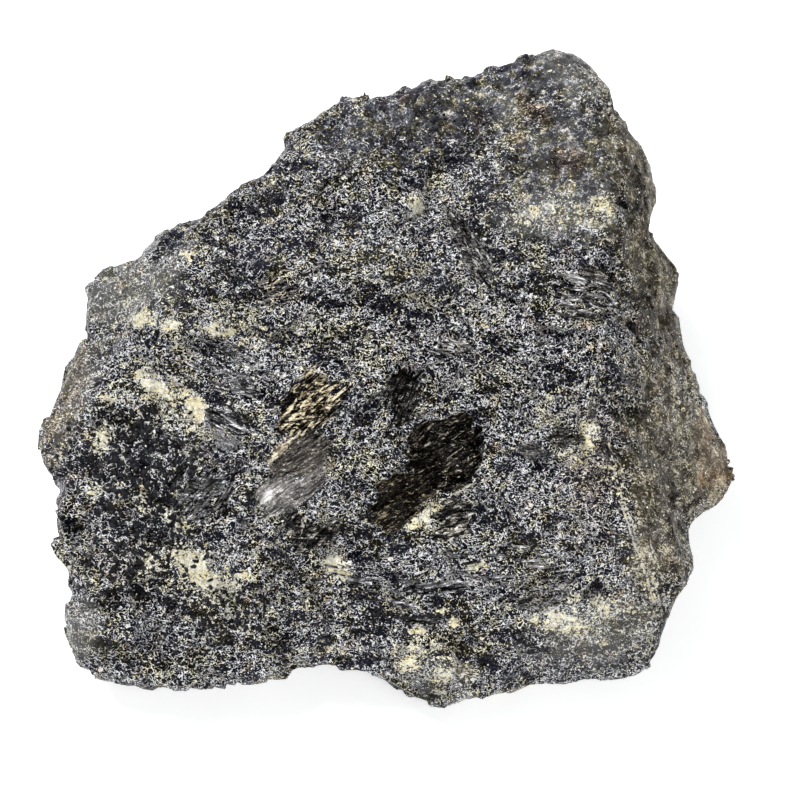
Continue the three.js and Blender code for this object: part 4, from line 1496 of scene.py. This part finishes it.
class GrainGroup:
    """Node group: the broken surface of packed crystals, as lightness with painted glints in it, hue and
    height.
    """

    name = "packed_grains"

    def tree(self) -> bpy.types.NodeTree:
        """Finds the group, or makes it the first time.

        Returns:
            The group's node tree.
        """
        if self.name in bpy.data.node_groups:
            return bpy.data.node_groups[self.name]
        b = Board.of_group(
            self.name,
            {"Vector": "Vector", "Net": "Float", "Soft": "Float"},
            {"Lightness": "Float", "Hue": "Float", "Height": "Float", "Grain": "Float"},
        )
        given = b.add("NodeGroupInput")
        place, soft = given.outputs["Vector"], given.outputs["Soft"]
        warped = b.stirred(place, place, 1.1, 2.0, 0.6, 0.9)
        drawn = b.turned(warped, 14.0, (0.72, 1.0, 1.0))
        zones = b.swell(place, 0.085, 6.0, 0.92)
        clumps = b.swell(drawn, 1.0, 2.0, 0.8)
        mottle = b.swell(place, 0.32, 4.0, 0.75)

        # Single grains, each with cleavage lines of its own direction, whose bright dashes are partly painted
        # glints.
        flow = b.turned(warped, 12.0, (1.05, 1.9, 1.9))
        grain = b.voronoi(flow, 1.0)
        tint = b.parts(grain.outputs["Color"])
        local = b.spun(b.vector("SUBTRACT", flow, grain.outputs["Position"]), tint[0])
        lined = b.moved(b.stretched(local, (0.8, 3.2, 3.2)), b.vector("SCALE", grain.outputs["Color"], 40.0))
        cleavage = b.noise(lined, 1.0, 1.0, 0.6).outputs["Fac"]
        dashes = b.remap(cleavage, 0.58, 0.69)
        slots = b.remap(cleavage, 0.47, 0.36)
        lit = b.remap(tint[1], 0.05, 0.50)
        body = b.total((lit, 0.18), (b.remap(tint[1], 0.72, 0.95), 0.08), (1.0, -0.13))

        # Clots of grains, and the pale web between them.
        apart = b.moved(b.turned(warped, 10.0, (0.85, 1.15, 1.15)), (11.0, 5.0, 3.0))
        coarse = b.voronoi(apart, 0.72, "DISTANCE_TO_EDGE").outputs["Distance"]
        clot = b.parts(b.voronoi(apart, 0.72).outputs["Color"])
        clots = b.product(b.remap(clot[0], 0.34, 0.20), b.remap(coarse, 0.02, 0.12))
        web = b.product(b.remap(coarse, 0.075, 0.02), b.remap(b.swell(place, 0.55, 2.0, 0.6), -0.05, 0.09))

        # Larger crystals, combed by their cleavage.
        stirred = b.stretched(b.stirred(apart, place, 3.2, 1.0, 0.6, 0.9), (0.62, 1.0, 1.0))
        block = b.voronoi(stirred, 0.50)
        choice = b.parts(block.outputs["Color"])
        rim = b.voronoi(stirred, 0.50, "DISTANCE_TO_EDGE").outputs["Distance"]
        blocks = b.product(b.remap(choice[0], 0.42, 0.28), b.remap(rim, 0.03, 0.09))
        local = b.spun(b.vector("SUBTRACT", stirred, block.outputs["Position"]), choice[1])
        combed = b.moved(b.stretched(local, (0.7, 3.4, 3.4)), b.vector("SCALE", block.outputs["Color"], 30.0))
        comb = b.swell(combed, 1.0, 2.0, 0.7)
        rim_line = b.product(b.remap(rim, 0.050, 0.01), b.remap(choice[2], 0.2, 0.7))
        calm = b.total((blocks, -0.55), (1.0, 1.0))

        # The finest marks: pale specks that are partly painted glints, rare bright painted glints, gaps, and
        # crossing threads.
        speck_and_glint = b.remap(b.swell(b.moved(drawn, (31.0, 7.0, 13.0)), 5.4, 0.0, 0.5), 0.13, 0.19)
        painted_glint = b.remap(b.swell(b.moved(drawn, (17.0, 9.0, 21.0)), 6.4, 0.0, 0.5), 0.21, 0.26)
        gap = b.remap(b.swell(b.moved(drawn, (5.0, 27.0, 3.0)), 3.6, 0.0, 0.5), 0.05, 0.17)
        strength = b.remap(b.swell(drawn, 0.9, 2.0, 0.7), -0.17, 0.19)
        worm = b.crease(b.moved(drawn, (31.0, 7.0, 13.0)), 1.1, 1.5, 0.034)
        thread = b.crease(b.moved(drawn, (3.0, 17.0, 23.0)), 1.8, 1.5, 0.042)
        rest = b.total((strength, -1.0), (1.0, 1.0))
        lines = b.math("MAXIMUM", b.product(worm, strength), b.product(thread, rest))
        spread = b.product(b.total((lit, 0.4), (1.0, 0.6)), b.total((strength, 0.65), (1.0, 0.35)))

        coarse_part = b.total(
            (body, 0.8), (clumps, 0.16), (zones, 0.85), (slots, -0.16), (clots, -0.05), (web, 0.24),
            (mottle, 0.26), (b.product(blocks, comb), 0.8), (rim_line, 0.22), (1.0, -0.19),
        )
        fine_part = b.total(
            (b.product(dashes, b.total((body, 1.3), (1.0, 0.40)), calm), 1.0),
            (b.product(speck_and_glint, spread, calm), 1.05), (gap, -0.16),
            (b.product(lines, calm), 1.30), (painted_glint, 0.6),
        )
        fine_part = b.total((fine_part, 1.58), (1.0, -0.285))
        net = b.total(
            (b.remap(coarse, 0.11, 0.0), 0.30), (b.remap(coarse, 0.10, 0.36), -0.05),
            (speck_and_glint, 0.26), (1.0, -0.07),
        )
        blotch = b.swell(b.moved(warped, (7.0, 3.0, 9.0)), 0.62, 3.0, 0.72)
        worn = b.total((mottle, 0.9), (blotch, 1.5), (strength, 0.10), (1.0, 0.22))
        level = b.total(
            (b.product(coarse_part, b.total((soft, -0.45), (1.0, 1.0))), 1.0),
            (b.product(fine_part, b.total((soft, -0.80), (1.0, 1.0))), 1.0),
            (b.product(worn, soft), 1.0),
            (b.product(net, given.outputs["Net"]), 1.0),
        )
        level = b.total((level, 1.2), (1.0, 0.170))
        level = b.total((b.math("POWER", b.math("MAXIMUM", level, 0.0), 1.5), 0.97), (1.0, 0.085))
        hue = b.total(
            (b.swell(place, 0.16, 3.0, 0.75), 2.5), (b.swell(place, 0.9, 1.0, 0.6), 1.7),
            (b.swell(place, 2.8, 0.0, 0.5), 0.8), (b.product(b.swell(place, 0.5, 2.0, 0.7), soft), 2.2),
            (1.0, 0.53),
        )
        height = b.total((dashes, 0.5), (slots, -0.3), (clumps, 0.9), (speck_and_glint, 0.7), (gap, -0.45))
        return b.give(Lightness=level, Hue=hue, Height=height, Grain=tint[0])


class CleavageGroup:
    """Node group: a cleaved crystal's colour, from its cleavage coordinates and its look, whose sheen holds
    the crystal's tone with painted sheen and painted shade.
    """

    name = "cleavage"

    def tree(self) -> bpy.types.NodeTree:
        """Finds the group, or makes it the first time.

        Returns:
            The group's node tree.
        """
        if self.name in bpy.data.node_groups:
            return bpy.data.node_groups[self.name]
        b = Board.of_group(
            self.name,
            {"Run": "Vector", "Look": "Vector", "Extra": "Float"},
            {"Colour": "Color", "Lines": "Float", "Level": "Float"},
        )
        given = b.add("NodeGroupInput")
        place = given.outputs["Run"]
        look = b.add("ShaderNodeSeparateXYZ")
        b.feed(look.inputs[0], given.outputs["Look"])
        sheen, golden, lined = look.outputs
        bent = b.stirred(place, place, 0.6, 2.0, 0.5, 0.45)
        lines = b.noise(b.stretched(bent, (0.40, 4.2, 1.0)), 1.0, 2.0, 0.85).outputs["Fac"]
        breaks = b.noise(b.stretched(bent, (0.7, 1.3, 1.0)), 1.0, 5.0, 0.8).outputs["Fac"]
        hair = b.crease(b.stretched(bent, (0.28, 3.0, 1.0)), 1.0, 1.0, 0.060, 0.0)
        hair = b.product(hair, b.remap(breaks, 0.49, 0.58), b.remap(sheen, 0.45, 0.05, 0.25, 0.95))
        fleck = b.remap(b.swell(place, 4.6, 0.0, 0.5), 0.13, 0.2)
        marks = b.total((lines, 1.5), (breaks, 1.1), (given.outputs["Extra"], 1.0), (1.0, -1.3))
        # The sheen, painted sheen and painted shade included, sets the value that the ramps turn into colour.
        value = b.total((sheen, 1.0), (b.product(lined, marks), 1.0), (hair, 0.85), (fleck, 0.24))
        grey = b.ramp(value, (
            (0.0, (0.001, 0.001, 0.001)), (0.2, (0.009, 0.009, 0.009)), (0.4, (0.050, 0.049, 0.050)),
            (0.6, (0.17, 0.168, 0.175)), (0.8, (0.42, 0.415, 0.43)), (1.0, (0.90, 0.90, 0.93)),
        ))
        tan = b.ramp(value, (
            (0.0, (0.001, 0.0008, 0.0005)), (0.2, (0.012, 0.008, 0.005)), (0.4, (0.060, 0.044, 0.024)),
            (0.6, (0.27, 0.205, 0.115)), (0.8, (0.58, 0.47, 0.28)), (1.0, (0.88, 0.78, 0.54)),
        ))
        return b.give(Colour=b.mix(golden, grey, tan), Lines=lines, Level=value)


@dataclass(frozen=True)
class RockFinish:
    """Fine, nearly black amphibole with a net of pale filaments, feldspar, dust and stains, and painted
    glints, painted sheen and painted shade in its colour.
    """

    name: str = "amphibole_rock"

    def build(self) -> bpy.types.Material:
        """Makes the material.

        Returns:
            A material that reads the mesh's growth attributes.
        """
        b, material = Board.of_material(self.name)
        place = b.millimetres()
        growth = {kind: b.attribute(kind.value) for kind in Growth}
        grains = b.add("ShaderNodeGroup", node_tree=GrainGroup().tree())
        b.feed(grains.inputs["Vector"], place)
        b.feed(grains.inputs["Net"], growth[NET])
        worn = b.math("MAXIMUM", growth[OLIVE], b.product(growth[PALE], 0.2))
        b.feed(grains.inputs["Soft"], b.math("MAXIMUM", growth[SOFT], worn))
        fine = b.noise(place, 3.0, 2.0, 0.7).outputs["Fac"]
        drawn = b.add("ShaderNodeGroup", node_tree=CleavageGroup().tree())
        b.feed(drawn.inputs["Run"], b.attribute("run", "Vector"))
        b.feed(drawn.inputs["Look"], b.attribute("look", "Vector"))
        lines, inward, cover = drawn.outputs["Lines"], b.attribute("edge"), b.attribute("cover")
        edge = b.total((inward, 1.0), (lines, 0.55), (fine, 0.80), (1.0, -0.675))
        crystal = b.product(b.remap(edge, 0.47, 0.53), b.remap(cover, 0.82, 0.90))
        streaked = b.product(b.remap(inward, 0.40, 0.70), cover, b.remap(cover, 0.90, 0.82))
        streaks = b.product(streaked, b.total((lines, 3.0), (1.0, -1.62)))
        sand = b.noise(place, 2.6, 2.0, 0.7).outputs["Fac"]
        grit = b.total((grains.outputs["Grain"], 0.8), (sand, 1.6), (1.0, -1.2))
        dense = b.remap(b.total((growth[DARK], 1.0), (grit, 0.5)), 0.25, 0.60)
        deep = b.remap(growth[DARK], 0.50, 0.90)
        level = b.total(
            (grains.outputs["Lightness"], 1.0), (dense, -0.22), (deep, -0.09),
            (growth[LIGHT], 0.14), (streaks, 1.0), (growth[PALE], 0.14),
        )

        cool = b.ramp(level, (
            (0.0, (0.002, 0.002, 0.005)), (0.20, (0.009, 0.0092, 0.020)), (0.40, (0.034, 0.0350, 0.058)),
            (0.62, (0.130, 0.134, 0.165)), (0.82, (0.437, 0.444, 0.482)), (1.0, (0.88, 0.885, 0.90)),
        ))
        warm = b.ramp(level, (
            (0.0, (0.002, 0.002, 0.001)), (0.20, (0.0135, 0.0115, 0.0040)), (0.40, (0.048, 0.042, 0.019)),
            (0.62, (0.160, 0.147, 0.085)), (0.82, (0.50, 0.465, 0.32)), (1.0, (0.92, 0.88, 0.72)),
        ))
        colour = b.mix(b.remap(grains.outputs["Hue"], 0.45, 0.95), cool, warm)
        dusty = b.ramp(level, (
            (0.0, (0.07, 0.07, 0.060)), (0.4, (0.34, 0.338, 0.30)), (1.0, (0.82, 0.81, 0.75)),
        ))
        colour = b.mix(b.product(growth[PALE], 0.42), colour, dusty)
        skin = b.ramp(level, (
            (0.0, (0.008, 0.006, 0.003)), (0.40, (0.116, 0.097, 0.063)), (1.0, (0.66, 0.59, 0.42)),
        ))
        colour = b.mix(b.product(growth[OLIVE], 0.75), colour, skin)
        seep = b.remap(b.noise(place, 0.42, 3.0, 0.7).outputs["Fac"], 0.55, 0.68)
        stain = b.math("MAXIMUM", growth[RUST], b.product(seep, 0.6))
        colour = b.mix(stain, colour, b.stretched(colour, (0.96, 0.74, 0.56)))
        yellow = b.noise(place, 0.5, 2.0, 0.6).outputs["Fac"]
        cream = b.total((fine, 3.6), (grains.outputs["Grain"], 0.35), (1.0, -1.22))
        white = b.ramp(cream, (
            (0.0, (0.12, 0.10, 0.065)), (0.26, (0.56, 0.51, 0.37)), (0.55, (0.90, 0.855, 0.67)),
            (1.0, (0.98, 0.96, 0.84)),
        ))
        honey = b.ramp(cream, (
            (0.0, (0.12, 0.085, 0.04)), (0.26, (0.55, 0.44, 0.22)), (0.55, (0.87, 0.77, 0.46)),
            (1.0, (0.97, 0.92, 0.68)),
        ))
        spots = b.total((growth[FELDSPAR], 0.92), (grit, 0.95), (b.swell(place, 4.4, 1.0, 0.7), 1.1))
        colour = b.mix(b.remap(spots, 0.46, 0.60), colour, b.mix(b.remap(yellow, 0.42, 0.58), white, honey))
        colour = b.mix(crystal, colour, drawn.outputs["Colour"])

        rough = b.remap(grains.outputs["Hue"], 0.3, 0.9, 0.35, 0.7)
        relief = grains.outputs["Height"]
        height = b.total((relief, 1.0), (b.product(crystal, b.total((lines, 1.6), (relief, -1.0))), 1.0))
        shader = b.principled(colour, rough, b.bump(height, 0.8, 0.22), 0.2)
        over = b.product(crystal, b.total((drawn.outputs["Level"], 1.0), (level, -1.0)))
        dim = b.remap(b.total((level, 1.0), (over, 1.0)), 0.20, 0.02)
        b.feed(shader.inputs["Metallic"], b.product(dim, 0.9))
        return material


@dataclass(frozen=True)
class SplinterFinish:
    """Loose cleavage splinters, each a little lighter or darker than the crystal that it lies on."""

    name: str = "cleavage_splinters"

    def build(self) -> bpy.types.Material:
        """Makes the material.

        Returns:
            A material that reads each splinter's look and tint.
        """
        b, material = Board.of_material(self.name)
        group = b.add("ShaderNodeGroup", node_tree=CleavageGroup().tree())
        b.feed(group.inputs["Run"], b.millimetres())
        b.feed(group.inputs["Look"], b.attribute("look", "Vector"))
        b.feed(group.inputs["Extra"], b.total((b.attribute("tint"), 0.46), (1.0, -0.25)))
        lines = group.outputs["Lines"]
        rough = b.remap(lines, 0.3, 0.7, 0.3, 0.55)
        shader = b.principled(group.outputs["Colour"], rough, b.bump(lines, 0.5, 0.1), 0.25)
        b.feed(shader.inputs["Metallic"], b.remap(group.outputs["Level"], 0.20, 0.02, 0.0, 0.9))
        return material


@dataclass(frozen=True)
class GrainFinish:
    """Small grains of one mineral, each a little lighter or darker than the next."""

    name: str
    dark: tuple[float, float, float, float]
    pale: tuple[float, float, float, float]
    stain: tuple[float, float, float, float]
    specular: float = 0.3
    roughness: tuple[float, float] = (0.25, 0.5)

    def build(self) -> bpy.types.Material:
        """Makes the material.

        Returns:
            A material that reads each grain's tint.
        """
        b, material = Board.of_material(self.name)
        place = b.millimetres()
        fleck = b.noise(place, 2.6, 3.0, 0.7).outputs["Fac"]
        cloud = b.noise(place, 0.5, 3.0, 0.7).outputs["Fac"]
        tint = b.attribute("tint")
        colour = b.mix(b.total((fleck, 1.8), (tint, 1.0), (1.0, -0.9)), self.dark, self.pale)
        colour = b.mix(b.remap(cloud, 0.50, 0.68), colour, self.stain)
        rough = b.remap(fleck, 0.35, 0.65, *self.roughness)
        b.principled(colour, rough, b.bump(fleck, 0.5, 0.1), self.specular)
        return material


@dataclass(frozen=True)
class FloorFinish:
    """Plain white paper."""

    name: str = "white_floor"
    colour: tuple[float, float, float, float] = (0.92, 0.925, 0.93, 1.0)
    glow: float = 0.45

    def build(self) -> bpy.types.Material:
        """Makes the material.

        Returns:
            A white material that glows a little.
        """
        material = bpy.data.materials.new(self.name)
        material.use_nodes = True
        shader = material.node_tree.nodes["Principled BSDF"]
        shader.inputs["Base Color"].default_value = self.colour
        shader.inputs["Roughness"].default_value = 0.9
        shader.inputs["Specular IOR Level"].default_value = 0.1
        shader.inputs["Emission Color"].default_value = (1.0, 1.0, 1.0, 1.0)
        shader.inputs["Emission Strength"].default_value = self.glow
        return material


# ---------------------------------------------------------------------------------------------------
# Setting: floor, light and camera
# ---------------------------------------------------------------------------------------------------


@dataclass
class Studio:
    """A white floor, soft lights and the camera."""

    frame: FaceFrame
    target: tuple[float, float, float] = (1.05, -3.40, 0.0)
    elevation_deg: float = 62.0
    distance: float = 1.0
    view_width: float = 102.6 * MM
    floor_size: float = 3.0

    def build(self) -> None:
        """Makes the floor, the lights and the camera."""
        self._floor()
        self._world()
        self._light("key", (-0.40, 0.35, 0.80), 0.40, 8.5)
        self._light("fill", (0.35, -0.65, 0.65), 0.60, 4.5)
        self._camera()
        bpy.context.scene.view_settings.view_transform = "Standard"

    def _floor(self) -> None:
        """Lays the floor under the stone."""
        bm = bmesh.new()
        bmesh.ops.create_grid(bm, x_segments=1, y_segments=1, size=self.floor_size / 2)
        mesh = bpy.data.meshes.new("floor")
        bm.to_mesh(mesh)
        bm.free()
        floor = bpy.data.objects.new("floor", mesh)
        bpy.context.scene.collection.objects.link(floor)
        mesh.materials.append(FloorFinish().build())
        floor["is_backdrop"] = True

    def _world(self) -> None:
        """Fills the room with even white light."""
        world = bpy.data.worlds.new("room")
        bpy.context.scene.world = world
        world.use_nodes = True
        background = world.node_tree.nodes["Background"]
        background.inputs["Color"].default_value = (0.97, 0.985, 1.0, 1.0)
        background.inputs["Strength"].default_value = 0.35

    def _light(self, name: str, place: tuple[float, float, float], size: float, power: float) -> None:
        """Hangs a soft square light that looks at the stone.

        Args:
            name: the light's name.
            place: where it hangs, in metres.
            size: its side, in metres.
            power: its output, in watts.
        """
        data = bpy.data.lights.new(name, "AREA")
        data.size = size
        data.energy = power
        lamp = bpy.data.objects.new(name, data)
        lamp.location = place
        lamp.rotation_euler = (-Vector(place)).to_track_quat("-Z", "Y").to_euler()
        bpy.context.scene.collection.objects.link(lamp)

    def _camera(self) -> None:
        """Sets the camera square to the broad face's frame, looking down at the stone."""
        data = bpy.data.cameras.new("camera")
        data.sensor_width = 36.0
        data.lens = data.sensor_width * self.distance / self.view_width
        data.clip_start = 0.01
        data.clip_end = 20.0
        data.dof.use_dof = False
        target = Vector(self.frame.to_model(np.array([self.target]))[0])
        angle = math.radians(self.elevation_deg)
        back = Vector((0.0, -math.cos(angle), math.sin(angle)))
        camera = bpy.data.objects.new("camera", data)
        camera.location = target + back * self.distance
        camera.rotation_euler = (-back).to_track_quat("-Z", "Y").to_euler()
        bpy.context.scene.collection.objects.link(camera)
        bpy.context.scene.camera = camera


def scatters(frame: FaceFrame) -> list[GrainScatter | VeinGrains]:
    """The kinds of grain that stand out of the surface.

    Args:
        frame: the broad face's frame.

    Returns:
        One scatter, or set of veins, for each kind.
    """
    black = GrainFinish(
        "black_grains", (0.001, 0.001, 0.002, 1), (0.022, 0.023, 0.028, 1), (0.010, 0.008, 0.006, 1),
        specular=0.16,
    )
    cream = GrainFinish(
        "feldspar_crumbs", (0.42, 0.38, 0.28, 1), (0.92, 0.90, 0.80, 1), (0.80, 0.70, 0.44, 1),
        roughness=(0.4, 0.7),
    )
    pale = GrainFinish(
        "vein_feldspar", (0.20, 0.19, 0.165, 1), (0.90, 0.88, 0.80, 1), (0.70, 0.60, 0.40, 1),
        roughness=(0.4, 0.7),
    )
    return [
        VeinGrains("feldspar_veins", "feldspar", pale, PALE_VEINS, frame),
        VeinGrains("dark_seams", "hornblende_crystal", black, DARK_SEAMS, frame),
        GrainScatter(
            "cleavage_splinters", "hornblende_crystal", SplinterFinish(), frame, Shape.SPLINTER,
            count=2600, size=(0.8, 4.5), proportions=(1.0, 0.11, 0.10), proud=0.5, tilt=0.16, seed=SEED + 1,
        ),
        GrainScatter(
            "hornblende_grains", "hornblende_crystal", black, frame, Shape.CRUMB,
            count=2600, size=(0.3, 1.1), proportions=(1.0, 0.75, 0.6), proud=0.42, tilt=0.8, seed=SEED + 2,
            density={NET: 1.7, DARK: 0.5, PALE: -0.15, FELDSPAR: -0.3, OLIVE: -0.1}, base_density=0.03,
        ),
        GrainScatter(
            "feldspar_crumbs", "feldspar", cream, frame, Shape.CRUMB,
            count=6000, size=(0.15, 0.50), proportions=(1.0, 0.8, 0.6), proud=0.5, tilt=0.8, seed=SEED + 3,
            density={FELDSPAR: 16.0, NET: 0.35, LIGHT: 0.4, PALE: 0.4, DARK: -0.8}, base_density=0.15,
        ),
    ]


def main(frame: dict, cad_box: tuple[Vector, Vector]) -> None:
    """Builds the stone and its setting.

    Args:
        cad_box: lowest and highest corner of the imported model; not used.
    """
    logging.basicConfig(level=logging.INFO, format="%(message)s")
    face_frame = FaceFrame()
    Studio(face_frame).build()
    source = frame["nodes"]["stone"]
    body = StoneBody(source, face_frame)
    rock = body.build()
    body.dress(rock)
    for grains in scatters(face_frame):
        grains.dress(grains.build(rock))


if __name__ == "__main__":
    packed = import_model()
    main(packed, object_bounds())
